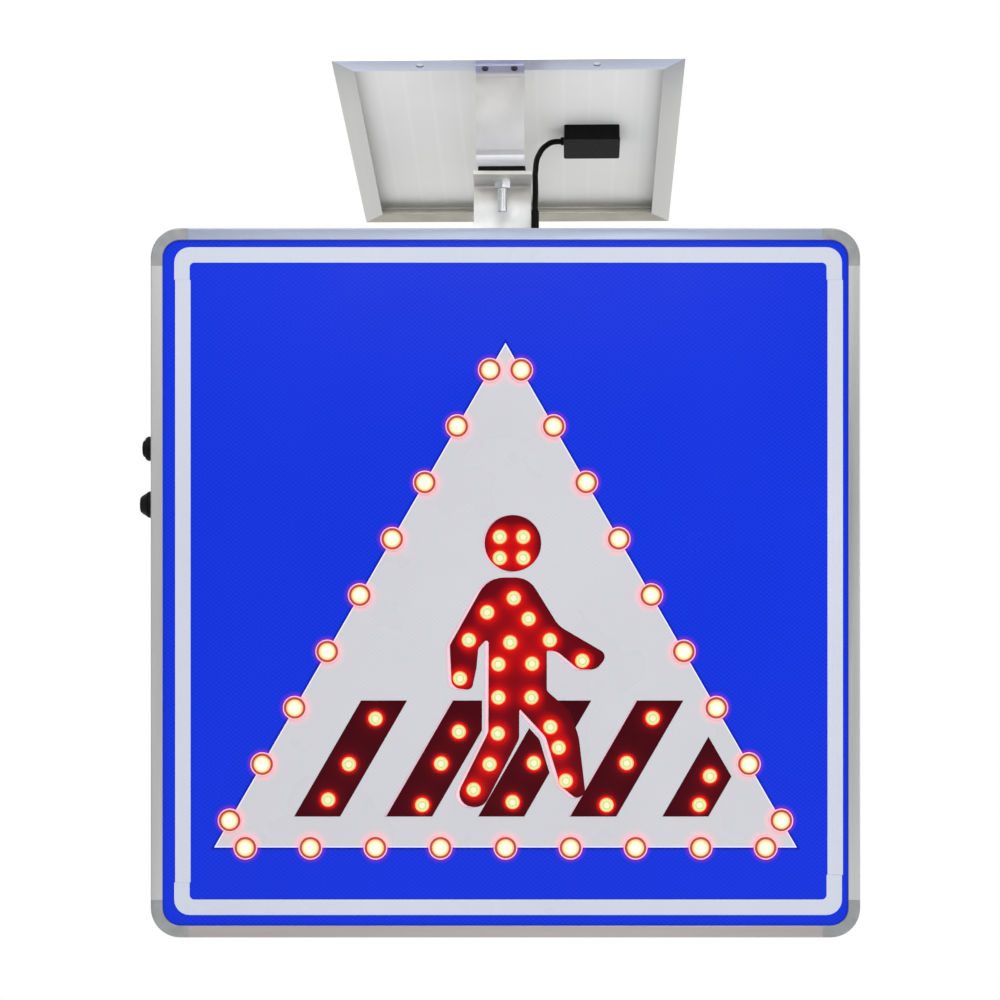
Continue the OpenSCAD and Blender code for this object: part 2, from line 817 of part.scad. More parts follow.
module controller_standoffs() {
  color("gold") facing(cover_y) standoff_places() {
    cylinder(r = 3, h = standoff_h, $fn = 6);
    cylinder(r = 1.5, h = standoff_h + board_t + 0.4);
    translate([0, 0, standoff_h + board_t]) cylinder(r = 2.8, h = 1.6);
  }
}

// Lead that leaves a along u and arrives at b along v
module lead(a, b, u, v) {
  reach = 0.35 * norm(b - a);
  p = a + reach * u;
  q = b - reach * v;
  tube([for (i = [0:lead_bends]) let (t = i / lead_bends, k = 1 - t)
    k * k * k * a + 3 * k * k * t * p + 3 * k * t * t * q + t * t * t * b],
    lead_r, u, v, 8, abs(u[0]) > 0.5 ? [0, 0, 1] : [1, 0, 0]);
}

module inner_wiring() {
  top = controller_z + controller_h / 2 - 2;
  bottom = controller_z - controller_h / 2 + 2;
  color("crimson") {
    lead([gland_x, gland_y, sign_h / 2 - frame_t - gland_l], [20, terminal_y, top],
      [0, 0, -1], [0, 0, -1]);
    lead([-20, cover_y - battery_d / 2, battery_z + battery_h / 2], [-20, terminal_y, bottom],
      [0, 0, 1], [0, 0, 1]);
    lead([12, terminal_y, bottom], [12, board_y + board_t, tri_z + HEAD[1] * art],
      [0, 0, -1], [0, -1, 0]);
    for (p = [[switch_z, top - terminal_h / 2], [socket_z, bottom + terminal_h / 2]])
      lead([-sign_w / 2 + barrel_l, mid_y, p[0]], [-terminal_w / 2, terminal_y, p[1]],
        [1, 0, 0], [1, 0, 0]);
  }
}

// ---------- side fittings ----------

// Fitting on the left wall, its axis pointing outwards, with z = 0 on the wall
module on_left_wall(z) {
  translate([-sign_w / 2, mid_y, z]) rotate([0, -90, 0]) children();
}

module switch_body() {
  r = barrel_r;
  bore = button_r + running_gap;
  color("black") on_left_wall(switch_z)
    turned([[0, -barrel_l], [r, -barrel_l], [r, 0], [r + 1.7, 0], [r + 1.7, 6.6],
      [r + 0.4, 8.4], [bore, 8.4], [bore, -3.8 - switch_travel], [0, -3.8 - switch_travel]]);
}

module switch_button() {
  color("dimgray") on_left_wall(switch_z)
    turned([[0, -3.4], [button_r, -3.4], [button_r, 9.8], [button_r * 0.92, 10.5],
      [button_r * 0.75, 10.9], [0, 11]]);
}

module barrel_nut(z) {
  on_left_wall(z) translate([0, 0, -frame_t - 4]) hex_nut(1.35 * barrel_r, barrel_r + 0.05, 4);
}

module switch_nut() {
  color("black") barrel_nut(switch_z);
}

module socket_body() {
  r = barrel_r;
  bore = stem_r + running_gap;
  color("black") on_left_wall(socket_z)
    turned([[0, -barrel_l], [r, -barrel_l], [r, 0], [r + 2.7, 0], [r + 2.7, 5.2],
      [r + 2, 6], [bore, 6], [bore, -stem_l - 2], [0, -stem_l - 2]]);
}

module socket_nut() {
  color("black") barrel_nut(socket_z);
}

module charge_cap() {
  r = barrel_r;
  color("dimgray") on_left_wall(socket_z)
    turned([[0, -stem_l], [stem_r, -stem_l], [stem_r, 6.1], [r + 2.5, 6.1], [r - 1.6, 12],
      [r - 2.4, 12.8], [0, 13]]);
}

module cable_gland() {
  r = gland_r;
  color("black") translate([gland_x, gland_y, sign_h / 2])
    turned([[0, -frame_t - gland_l], [r, -frame_t - gland_l], [r, 0.2], [r - 0.3, 0.6], [r, 1.4],
      [r, gland_h - 1.2], [r - 0.5, gland_h], [0, gland_h]]);
}

module gland_nut() {
  color("black") translate([gland_x, gland_y, sign_h / 2 - frame_t - 4])
    hex_nut(2 * gland_r, gland_r + 0.05, 4);
}

// ---------- bracket ----------

module upright() {
  t = bracket_t;
  front = face_y - 2;
  color("lightsteelblue") difference() {
    translate([bracket_x, 0, 0]) rolled(upright_w)
      polygon(bent_bar([[upright_y + t, upright_foot_z], [upright_y + t, shelf_z],
        [front, shelf_z]], t, bend_r));
    translate([bracket_x, swivel_y, shelf_z]) cylinder(r = swivel_hole_r, h = 20, center = true);
    slab(upright_y - 1, upright_y + t + 1) upright_bolt_places() circle(m6_r + 0.2);
  }
}

module upright_bolts() {
  color("silver") {
    facing(upright_y + bracket_t) upright_bolt_places() {
      translate([0, 0, -4]) cylinder(r = 5.8, h = 4, $fn = 6);
      cylinder(r = m6_r, h = bracket_t + cover_t + 8);
    }
    facing(cover_y) upright_bolt_places() hex_nut(5.8, m6_r + 0.05, 5);
  }
}

// Everything that turns on the swivel is drawn about its axis, straight, and turned as set
module swung() {
  translate([bracket_x, swivel_y, 0]) rotate([0, 0, panel_turn]) children();
}

front_dy = panel_front_y - swivel_y;
slope = tan(panel_tilt);

// Height of the panel's underside at a distance y behind the swivel, less t square to it
function under_panel(y, t = 0) = panel_front_z - (y - front_dy) * slope - t / cos(panel_tilt);

// Place on the panel's slope: s along it from the front edge, and w up from its underside
module on_slope(s = 0, w = 0) {
  translate([0, front_dy, panel_front_z]) rotate([-panel_tilt, 0, 0]) translate([0, s, w]) children();
}

module strap() {
  t = bracket_t;
  leg_y = front_dy + strap_leg_back;
  tab_y = front_dy + 3;
  knee_y = front_dy + (panel_front_z - t / cos(panel_tilt) - strap_z) / slope;
  end_y = front_dy + panel_l * cos(panel_tilt) - 4;
  color("lightsteelblue") swung() difference() {
    rolled(strap_w) polygon(bent_bar([[tab_y, under_panel(tab_y, t)],
      [leg_y, under_panel(leg_y, t)], [leg_y, strap_z], [knee_y, strap_z],
      [end_y, under_panel(end_y, t)]], t, strap_bend_r));
    translate([0, 0, strap_z]) cylinder(r = swivel_d / 2 + 0.2, h = 20, center = true);
    strap_screw_places() cylinder(r = strap_screw_r + 0.2, h = 12, center = true);
  }
}

module strap_screw_places() {
  for (s = [strap_screw_in, panel_l - strap_screw_in], sx = [-1, 1])
    on_slope(s, 0) translate([sx * strap_screw_dx, 0, 0]) children();
}

module rubber_pad() {
  front = face_y - 2 - swivel_y;
  color("black") swung() difference() {
    translate([0, 0, shelf_z + fit_gap]) linear_extrude(pad_t - fit_gap)
      polygon(rounded([[-strap_w / 2, 24, 3], [strap_w / 2, 24, 3], [strap_w / 2, front, 3],
        [-strap_w / 2, front, 3]]));
    translate([0, 0, shelf_z]) cylinder(r = swivel_d / 2 + 0.3, h = 30, center = true);
  }
}

module swivel_bolt() {
  below = bracket_t + pad_t + washer_t + nut_h + bolt_tail;
  color("silver") swung() translate([0, 0, strap_z + bracket_t]) {
    rotate([0, 0, 30]) cylinder(r = nut_r, h = 0.66 * swivel_d, $fn = 6);
    translate([0, 0, -below - bracket_t]) cylinder(r = swivel_d / 2, h = below + bracket_t + 1);
  }
}

module swivel_washer() {
  color("silver") swung() translate([0, 0, shelf_z - bracket_t - fit_gap - washer_t])
    difference() {
      cylinder(r = swivel_d, h = washer_t);
      translate([0, 0, -1]) cylinder(r = swivel_d / 2 + 0.2, h = washer_t + 2);
    }
}

module swivel_nut() {
  color("silver") swung() translate([0, 0, shelf_z - bracket_t - fit_gap - washer_t - nut_h])
    rotate([0, 0, 30]) hex_nut(nut_r, swivel_d / 2 + 0.02, nut_h);
}

module strap_screws() {
  color("silver") swung() strap_screw_places() translate([0, 0, -bracket_t]) rotate([180, 0, 0])
    pan_screw(strap_screw_r, strap_head_r, 1.8, bracket_t + 6);
}

// ---------- solar panel ----------

// Frame section: x is the distance inwards, y the height above the underside
module panel_section() {
  w = panel_wall;
  polygon([[0, 0], [panel_flange, 0], [panel_flange, w], [w, w], [w, seat_w - lip_t],
    [panel_lip, seat_w - lip_t], [panel_lip, seat_w], [w, seat_w], [w, panel_t - lip_t],
    [panel_lip, panel_t - lip_t], [panel_lip, panel_t], [0, panel_t]]);
}

// Rail along a side of length along, its outer wall at x = 0, its ends cut at 45 degrees
module mitred_rail(along) {
  difference() {
    rotate([90, 0, 0]) linear_extrude(along, center = true) panel_section();
    for (s = [-1, 1]) translate([0, s * along / 2, -1]) linear_extrude(panel_t + 2)
      polygon([[0, 0], [panel_flange + 5, -s * (panel_flange + 5)], [panel_flange + 5, s * 5], [0, s * 5]]);
  }
}

module panel_rail(side) {
  color("silver") swung() on_slope(panel_l / 2) translate([panel_dx, 0, 0])
    difference() {
      if (side == "left") translate([-panel_w / 2, 0, 0]) mitred_rail(panel_l);
      else if (side == "right") mirror([1, 0, 0]) translate([-panel_w / 2, 0, 0]) mitred_rail(panel_l);
      else if (side == "front") rotate([0, 0, 90]) translate([-panel_l / 2, 0, 0]) mitred_rail(panel_w);
      else rotate([0, 0, -90]) translate([-panel_l / 2, 0, 0]) mitred_rail(panel_w);
      for (sx = [-1, 1]) translate([sx * drain_hole_x, (panel_flange - panel_l) / 2, -1])
        cylinder(r = drain_hole_r, h = panel_wall + 2);
      for (sx = [-1, 1], sy = [-1, 1])
        translate([-panel_dx + sx * strap_screw_dx, sy * (panel_l / 2 - strap_screw_in), -1])
          cylinder(r = strap_screw_r + 0.05, h = panel_wall + 2);
    }
}

module laminate(w, t) {
  swung() on_slope(panel_l / 2, w) translate([panel_dx, 0, t / 2])
    cube([panel_w - 2 * laminate_in, panel_l - 2 * laminate_in, t], center = true);
}

module backsheet() {
  color("white") laminate(seat_w + laminate_gap, sheet_back_t);
}

module panel_glass() {
  color("lightcyan") laminate(seat_w + laminate_gap + sheet_back_t + cell_t, glass_t);
}

module solar_cells() {
  edge = panel_lip + 3;
  w = (panel_w - 2 * edge + cell_space) / cell_cols;
  l = (panel_l - 2 * edge + cell_space) / cell_rows;
  color("midnightblue") swung() on_slope(panel_l / 2, seat_w + laminate_gap + sheet_back_t)
    translate([panel_dx, 0, 0]) for (i = [0:cell_cols - 1], j = [0:cell_rows - 1])
      translate([-panel_w / 2 + edge + i * w, -panel_l / 2 + edge + j * l, 0])
        cube([w - cell_space, l - cell_space, cell_t]);
}

// Place of the junction box: under the backsheet, seen from below with z down
module under_backsheet() {
  swung() on_slope(panel_l / 2, seat_w + laminate_gap) translate([panel_dx + jbox_x, 0, 0]) children();
}

// Place where the cable leaves the junction box
function cable_port() = let (x = panel_dx + jbox_x - jbox_w / 2 - jbox_boss_l,
    w = seat_w + laminate_gap - jbox_boss_w, c = cos(panel_tilt), s = sin(panel_tilt),
    y = front_dy + panel_l / 2 * c + w * s, cz = cos(panel_turn), sz = sin(panel_turn))
  [bracket_x + x * cz - y * sz, swivel_y + x * sz + y * cz, panel_front_z - panel_l / 2 * s + w * c];

module junction_box() {
  color("black") under_backsheet() union() {
    translate([0, 0, -jbox_h]) linear_extrude(jbox_h)
      polygon(rounded(rect_corners(jbox_w, jbox_l, 2)));
    translate([-jbox_w / 2 + 1, 0, -jbox_boss_w]) rotate([0, -90, 0])
      cylinder(r = jbox_boss_r, h = jbox_boss_l + 1);
  }
}

module junction_lid() {
  color("black") under_backsheet() translate([0, 0, -jbox_h - jbox_lid_h])
    linear_extrude(jbox_lid_h) polygon(rounded(rect_corners(jbox_w + 0.6, jbox_l + 0.6, 2.3)));
}

// Its upper end follows the junction box, and its lower end stays on the gland
module panel_cable() {
  foot = [gland_x, gland_y, sign_h / 2 + gland_h];
  port = cable_port();
  last = len(CABLE) - 1;
  path = [for (i = [0:last]) let (w = 1 - i / last)
    foot + CABLE[i] + (port - foot - CABLE[0]) * w * w * (3 - 2 * w)];
  color("black") tube(path, cable_d / 2, [-cos(panel_turn), -sin(panel_turn), 0], [0, 0, -1], 10);
}

// ---------- rear channels ----------

module channel_section() {
  h = channel_h / 2;
  t = channel_t;
  s = slot_w / 2;
  polygon([[-channel_d, -h], [0, -h], [0, -s], [-t, -s], [-t, -h + t], [-channel_d + t, -h + t],
    [-channel_d + t, h - t], [-t, h - t], [-t, s], [0, s], [0, h], [-channel_d, h]]);
}

module channel(z) {
  color("silver") difference() {
    translate([0, 0, z]) rolled(channel_l) channel_section();
    slab(-channel_d - 1, -channel_d + channel_t + 1) channel_rivet_places() circle(rivet_r);
  }
}

module channel_rivets() {
  color("silver") translate([0, -channel_d + channel_t, 0]) rotate([90, 0, 0]) channel_rivet_places()
    rotate([180, 0, 0]) rivet(channel_t + cover_t);
}

// T-headed stud that slides along its channel, with a square neck in the slot
module stud(x, z) {
  neck = stud_d - 0.2;
  head_z = channel_h - 2 * channel_t - 3;
  color("silver") translate([x, -channel_t - fit_gap, z]) {
    translate([-stud_head_x / 2, -stud_head_d, -head_z / 2])
      cube([stud_head_x, stud_head_d, head_z]);
    translate([-neck / 2, -1, -neck / 2]) cube([neck, 1 + channel_t + fit_gap, neck]);
    translate([0, channel_t + fit_gap, 0]) rotate([-90, 0, 0])
      cylinder(r = stud_d / 2, h = stud_l);
  }
}

// ---------- nodes ----------

frame_rail_top();
frame_rail_bottom();
frame_rail_left();
frame_rail_right();
corner_pieces();
corner_rivets();
face_plate();
blue_sheeting();
border_strips();
triangle_film();
walker_window();
stripe_windows();
window_backing();
edge_led_bezels();
edge_led_lenses();
symbol_led_lenses();
edge_led_boards();
symbol_led_board();
board_spacers();
gasket();
back_cover();
cover_screws();
battery_pack();
battery_bracket();
controller_board();
controller_standoffs();
inner_wiring();
switch_body();
switch_nut();
switch_button();
socket_body();
socket_nut();
charge_cap();
cable_gland();
gland_nut();
upright();
upright_bolts();
strap();
rubber_pad();
swivel_bolt();
swivel_nut();
swivel_washer();
strap_screws();
panel_rail("front");  // panel_rail_front
panel_rail("rear");  // panel_rail_rear
panel_rail("left");  // panel_rail_left
panel_rail("right");  // panel_rail_right
panel_glass();
solar_cells();
backsheet();
junction_box();
junction_lid();
panel_cable();
channel(channel_gap / 2);  // channel_upper
channel(-channel_gap / 2);  // channel_lower
channel_rivets();
stud(-stud_gap / 2, channel_gap / 2);  // stud_upper_left
stud(stud_gap / 2, channel_gap / 2);  // stud_upper_right
stud(-stud_gap / 2, -channel_gap / 2);  // stud_lower_left
stud(stud_gap / 2, -channel_gap / 2);  // stud_lower_right
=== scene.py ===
"""Solar lit pedestrian-crossing sign: the looks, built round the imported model."""
import json
import math

import bpy
import numpy as np
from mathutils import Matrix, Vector


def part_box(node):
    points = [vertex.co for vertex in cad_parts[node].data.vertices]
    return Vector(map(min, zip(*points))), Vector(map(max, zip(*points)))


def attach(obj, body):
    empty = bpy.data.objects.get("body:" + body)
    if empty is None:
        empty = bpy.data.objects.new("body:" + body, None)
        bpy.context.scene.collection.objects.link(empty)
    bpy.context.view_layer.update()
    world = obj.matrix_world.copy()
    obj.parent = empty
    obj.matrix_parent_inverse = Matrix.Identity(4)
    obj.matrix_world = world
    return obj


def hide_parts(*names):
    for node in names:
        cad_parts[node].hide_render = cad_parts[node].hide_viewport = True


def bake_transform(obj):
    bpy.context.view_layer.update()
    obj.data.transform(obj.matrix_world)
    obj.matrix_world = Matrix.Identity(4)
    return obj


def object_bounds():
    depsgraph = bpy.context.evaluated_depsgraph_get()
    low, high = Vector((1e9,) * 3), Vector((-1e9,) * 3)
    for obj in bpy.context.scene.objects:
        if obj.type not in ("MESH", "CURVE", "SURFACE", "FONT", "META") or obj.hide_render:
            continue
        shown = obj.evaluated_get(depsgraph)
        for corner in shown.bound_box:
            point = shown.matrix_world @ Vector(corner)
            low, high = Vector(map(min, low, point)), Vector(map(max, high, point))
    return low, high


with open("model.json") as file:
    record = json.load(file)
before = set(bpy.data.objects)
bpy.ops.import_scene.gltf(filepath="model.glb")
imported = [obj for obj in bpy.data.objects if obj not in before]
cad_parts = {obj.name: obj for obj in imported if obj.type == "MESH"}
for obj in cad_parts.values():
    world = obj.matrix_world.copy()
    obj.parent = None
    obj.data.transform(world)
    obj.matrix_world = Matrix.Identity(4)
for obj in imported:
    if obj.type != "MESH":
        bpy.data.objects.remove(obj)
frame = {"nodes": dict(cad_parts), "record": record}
cad_low, cad_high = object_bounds()
nodes = frame["nodes"]
for plain in list(bpy.data.materials):
    bpy.data.materials.remove(plain)


# ---------- sizes, in millimetres ----------

MM = 0.001
# Pitch of the film's cells, and of the columns of solar cells
FILM_CELL, CELL_PITCH = 4.8, 22.5
# Edge lights: radius, the rim's lift off the film, its steps as (inwards, outwards), and the dome
# inside it as (inwards, share of the rise)
EDGE_LENS_R, RIM_LIFT = 9.05, 0.4
EDGE_RIM = [(0.55, 0.2), (0.6, -0.1)]
EDGE_DOME = [(0.3, 0.22), (0.9, 0.30), (1.4, 0.24), (1.7, 0.16), (1.6, 0.08), (0.8, 0)]
# Bezel rings: radius, radius of their section, and how far back its middle lies
BEZEL_R, BEZEL_WIRE_R, BEZEL_SET_BACK = 9.65, 0.52, 0.6
# Symbol lights: radius, lift off the window, and dome
SYMBOL_LENS_R, LENS_LIFT = 6.1, 0.2
SYMBOL_DOME = [(0.25, 0.25), (0.5, 0.28), (0.9, 0.22), (1.0, 0.13), (1.1, 0.08), (1.2, 0.04),
               (0.6, 0)]
# Lit windows: grid of their points, radius that is fully lit, and reach of the bright rim round it
WINDOW_GRID, FULLY_LIT_R, CLOSE_GLOW = 3, 6, 1.6
# Cable: diameter, and route from the junction box, measured from the middle of the gland's top
CABLE_D = 5
CABLE_ROUTE = [(24, 59, 70), (16.5, 57.5, 69), (11, 54, 65.5), (7, 49, 61), (4.5, 44, 56),
               (2.5, 38.5, 51), (1.5, 33.5, 45.5), (1, 28, 40), (0.5, 22.5, 34), (0.5, 18, 28.5),
               (0.5, 13, 22.5), (0.5, 8.5, 16.5), (0.3, 4.5, 11), (0, 1.5, 5.5), (0, 0, 0)]

# ---------- other settings ----------

PANEL_TILT, PANEL_TURN = math.radians(-18.2), math.radians(-2)
# Points closer than this count as one, in metres
WELD = 1e-6
EVEN = (1, 1, 1)
BLACK = (0, 0, 0)
UNLIT_RED = (0.03, 0.001, 0.003)
# Colours of a window close to a light, as (share of the full glow, colour)
ROUND_A_LIGHT = [(0.45, (0.62, 0.005, 0.003)), (0.66, (0.82, 0.012, 0.004)),
                 (0.86, (0.95, 0.08, 0.02)), (1.0, (1.0, 0.30, 0.08))]
# Studio lights: name, place, aim, width and height in metres, and watts
SOFTBOXES = [
    ("key_light", (-1.2, -2.0, 1.6), (0, 0, 0.05), (1.6, 1.6), 10),
    ("high_light", (0, -1.35, 1.85), (0, -0.12, 0.44), (2.6, 0.9), 17),
    ("bracket_light", (0, -3.0, 0.76), (0, -0.02, 0.32), (1.2, 0.3), 6.5),
    ("under_light", (0, -1.3, -0.6), (0, -0.1, 0.36), (1.2, 0.8), 1.6),
    ("fill_light", (1.8, -1.6, 0.3), (0, 0, 0), (1.2, 1.8), 9),
    ("top_light", (0.2, 0.3, 2.4), (0, 0, 0.2), (1.6, 1.6), 16),
    ("rear_light", (0.8, 2.2, 1.2), (0, 0, 0), (1.6, 1.6), 14)]
# Nodes whose finish isn't that of their material slot
NODE_FINISHES = {
    "frame_rail_top": "rail_aluminium_top_painted_light", "frame_rail_bottom": "rail_aluminium_bottom_painted_light",
    "panel_rail_front": "panel_aluminium_front_painted_highlight", "panel_rail_rear": "panel_aluminium_rear_painted_light",
    "upright": "bracket_steel_painted_light", "strap_screws": "dark_screw", "face_plate": "lit_plate",
    "border_strips": "border_film"}


# ---------- camera, world and lights ----------

def add_camera():
    data = bpy.data.cameras.new("front_camera")
    data.lens = 72.4
    data.sensor_width = 36
    data.clip_start, data.clip_end = 0.05, 30
    camera = bpy.data.objects.new("front_camera", data)
    camera.location = (-0.00465, -1.77, 0.07)
    camera.rotation_euler = (math.radians(90), 0, 0)
    bpy.context.scene.collection.objects.link(camera)
    bpy.context.scene.camera = camera


def add_world():
    """White studio. Its light is softer from the front, so that glossy faces don't wash out."""
    world = bpy.data.worlds.new("white_studio")
    bpy.context.scene.world = world
    world.use_nodes = True
    tree = world.node_tree
    tree.nodes.clear()
    where = tree.nodes.new("ShaderNodeTexCoord")
    axes = tree.nodes.new("ShaderNodeSeparateXYZ")
    to_rear = tree.nodes.new("ShaderNodeMapRange")
    to_rear.inputs["From Min"].default_value = -1
    to_rear.inputs["From Max"].default_value = 0.2
    to_rear.inputs["To Min"].default_value = 0.62
    to_rear.inputs["To Max"].default_value = 0.95
    studio = tree.nodes.new("ShaderNodeBackground")
    plain = tree.nodes.new("ShaderNodeBackground")
    plain.inputs["Color"].default_value = (1, 1, 1, 1)
    path = tree.nodes.new("ShaderNodeLightPath")
    mix = tree.nodes.new("ShaderNodeMixShader")
    out = tree.nodes.new("ShaderNodeOutputWorld")
    tree.links.new(where.outputs["Generated"], axes.inputs[0])
    tree.links.new(axes.outputs["Y"], to_rear.inputs["Value"])
    tree.links.new(to_rear.outputs[0], studio.inputs["Strength"])
    tree.links.new(path.outputs["Is Camera Ray"], mix.inputs["Fac"])
    tree.links.new(studio.outputs[0], mix.inputs[1])
    tree.links.new(plain.outputs[0], mix.inputs[2])
    tree.links.new(mix.outputs[0], out.inputs["Surface"])


def add_softbox(name, place, aim, size, power):
    data = bpy.data.lights.new(name, "AREA")
    data.shape = "RECTANGLE"
    data.size, data.size_y = size
    data.energy = power
    lamp = bpy.data.objects.new(name, data)
    lamp.location = place
    lamp.rotation_euler = (Vector(aim) - Vector(place)).to_track_quat("-Z", "Y").to_euler()
    bpy.context.scene.collection.objects.link(lamp)


def add_floor():
    bpy.ops.mesh.primitive_plane_add(size=4, location=(0, 0, cad_low.z - 0.6))
    floor = bpy.context.object
    floor.name = "studio_floor"
    bpy.ops.object.transform_apply(location=True, rotation=True, scale=True)
    shade, parts = new_material("pale_floor", (0.9, 0.9, 0.9), 0.7)
    grain = mottle(shade, 3, EVEN, 0.62, 0.78)
    shade.links.new(grain, parts.inputs["Roughness"])
    floor.data.materials.append(bpy.data.materials["pale_floor"])


# ---------- material building ----------

def group_tree(name, inputs, outputs):
    """A shader node group with named sockets, and its input and output nodes."""
    tree = bpy.data.node_groups.new(name, "ShaderNodeTree")
    for label, kind, value in inputs:
        socket = tree.interface.new_socket(label, in_out="INPUT", socket_type=kind)
        socket.default_value = value
    for label, kind in outputs:
        tree.interface.new_socket(label, in_out="OUTPUT", socket_type=kind)
    return tree, tree.nodes.new("NodeGroupInput"), tree.nodes.new("NodeGroupOutput")


def math_node(tree, operation, a, b=None, clamp=False):
    node = tree.nodes.new("ShaderNodeMath")
    node.operation = operation
    node.use_clamp = clamp
    for i, value in enumerate((a, b)):
        if value is None:
            continue
        if isinstance(value, (int, float)):
            node.inputs[i].default_value = value
        else:
            tree.links.new(value, node.inputs[i])
    return node.outputs[0]


def map_range(tree, value, low, high, to_low=0.0, to_high=1.0, smooth=False):
    node = tree.nodes.new("ShaderNodeMapRange")
    node.interpolation_type = "SMOOTHSTEP" if smooth else "LINEAR"
    tree.links.new(value, node.inputs["Value"])
    for label, x in (("From Min", low), ("From Max", high), ("To Min", to_low), ("To Max", to_high)):
        if isinstance(x, (int, float)):
            node.inputs[label].default_value = x
        else:
            tree.links.new(x, node.inputs[label])
    return node.outputs[0]


def mix_colours(tree, factor, a, b, blend="MIX"):
    node = tree.nodes.new("ShaderNodeMix")
    node.data_type = "RGBA"
    node.blend_type = blend
    for label, value in (("Factor", factor), ("A", a), ("B", b)):
        socket = next(s for s in node.inputs if s.name == label and s.enabled)
        if isinstance(value, tuple):
            socket.default_value = (*value, 1)
        elif isinstance(value, (int, float)):
            socket.default_value = value
        else:
            tree.links.new(value, socket)
    return next(s for s in node.outputs if s.enabled)


def ramp(tree, value, stops):
    """Colours along a value, as [(place, colour), ...]."""
    node = tree.nodes.new("ShaderNodeValToRGB")
    points = node.color_ramp.elements
    while len(points) < len(stops):
        points.new(0.5)
    for point, (place, colour) in zip(points, stops):
        point.position = place
        point.color = (*colour, 1)
    tree.links.new(value, node.inputs[0])
    return node.outputs[0]


def make_mottle_group():
    """Soft uneven patches, stretched along an axis for drawn or rolled surfaces."""
    tree, given, out = group_tree(
        "mottle",
        [("Scale", "NodeSocketFloat", 10), ("Stretch", "NodeSocketVector", EVEN),
         ("Low", "NodeSocketFloat", 0), ("High", "NodeSocketFloat", 1)],
        [("Value", "NodeSocketFloat")])
    where = tree.nodes.new("ShaderNodeTexCoord")
    stretched = tree.nodes.new("ShaderNodeVectorMath")
    stretched.operation = "MULTIPLY"
    noise = tree.nodes.new("ShaderNodeTexNoise")
    noise.inputs["Detail"].default_value = 5
    tree.links.new(where.outputs["Object"], stretched.inputs[0])
    tree.links.new(given.outputs["Stretch"], stretched.inputs[1])
    tree.links.new(stretched.outputs[0], noise.inputs["Vector"])
    tree.links.new(given.outputs["Scale"], noise.inputs["Scale"])
    value = map_range(tree, noise.outputs["Fac"], 0.3, 0.7, given.outputs["Low"], given.outputs["High"])
    tree.links.new(value, out.inputs["Value"])
    return tree


def make_lattice_group():
    """Fine diamond cell walls of retroreflective sheeting, on the face's plane."""
    tree, given, out = group_tree(
        "cell_lattice",
        [("Cell", "NodeSocketFloat", 0.004), ("Line", "NodeSocketFloat", 0.12)],
        [("Wall", "NodeSocketFloat")])
    where = tree.nodes.new("ShaderNodeTexCoord")
    axes = tree.nodes.new("ShaderNodeSeparateXYZ")
    tree.links.new(where.outputs["Object"], axes.inputs[0])
    walls = []
    stretched = math_node(tree, "MULTIPLY", axes.outputs["Z"], 1.25)
    for sign in ("ADD", "SUBTRACT"):
        slant = math_node(tree, sign, stretched, axes.outputs["X"])
        step = math_node(tree, "DIVIDE", slant, given.outputs["Cell"])
        fold = math_node(tree, "PINGPONG", step, 0.5)
        walls.append(map_range(tree, fold, 0.0, given.outputs["Line"], 1, 0, smooth=True))
    tree.links.new(math_node(tree, "MAXIMUM", *walls), out.inputs["Wall"])
    return tree


def make_edge_light_group(centre_z, side, first, count):
    """Millimetres to the nearest light of the triangle's sides, and inwards from the sides."""
    tree, given, out = group_tree("edge_light_distance", [], [("Distance", "NodeSocketFloat"),
                                                              ("Inwards", "NodeSocketFloat")])
    tree.nodes.remove(given)
    where = tree.nodes.new("ShaderNodeTexCoord")
    pitch = (side - 2 * first) / (count - 1)
    nearest = inwards = None
    for turn in (0, 120, 240):
        spun = tree.nodes.new("ShaderNodeVectorRotate")
        spun.rotation_type = "Y_AXIS"
        spun.inputs["Center"].default_value = (0, 0, centre_z)
        spun.inputs["Angle"].default_value = math.radians(turn)
        axes = tree.nodes.new("ShaderNodeSeparateXYZ")
        tree.links.new(where.outputs["Object"], spun.inputs["Vector"])
        tree.links.new(spun.outputs[0], axes.inputs[0])
        along = math_node(tree, "ADD", axes.outputs["X"], side / 2 - first)
        step = math_node(tree, "ROUND", math_node(tree, "DIVIDE", along, pitch))
        step = math_node(tree, "MINIMUM", math_node(tree, "MAXIMUM", step, 0), count - 1)
        along = math_node(tree, "SUBTRACT", along, math_node(tree, "MULTIPLY", step, pitch))
        across = math_node(tree, "ADD", axes.outputs["Z"], side / math.sqrt(12) - centre_z)
        squared = math_node(tree, "ADD", math_node(tree, "MULTIPLY", along, along),
                            math_node(tree, "MULTIPLY", across, across))
        gap = math_node(tree, "SQRT", squared)
        nearest = gap if nearest is None else math_node(tree, "MINIMUM", nearest, gap)
        inwards = across if inwards is None else math_node(tree, "MINIMUM", inwards, across)
    tree.links.new(math_node(tree, "MULTIPLY", nearest, 1000), out.inputs["Distance"])
    tree.links.new(math_node(tree, "MULTIPLY", inwards, 1000), out.inputs["Inwards"])
    return tree


def mottle(tree, scale, stretch, low, high):
    node = tree.nodes.new("ShaderNodeGroup")
    node.node_tree = bpy.data.node_groups["mottle"]
    node.inputs["Scale"].default_value = scale
    node.inputs["Stretch"].default_value = stretch
    node.inputs["Low"].default_value = low
    node.inputs["High"].default_value = high
    return node.outputs["Value"]


def placed_group(tree, name, **values):
    node = tree.nodes.new("ShaderNodeGroup")
    node.node_tree = bpy.data.node_groups[name]
    for label, value in values.items():
        node.inputs[label].default_value = value
    return node.outputs[0]


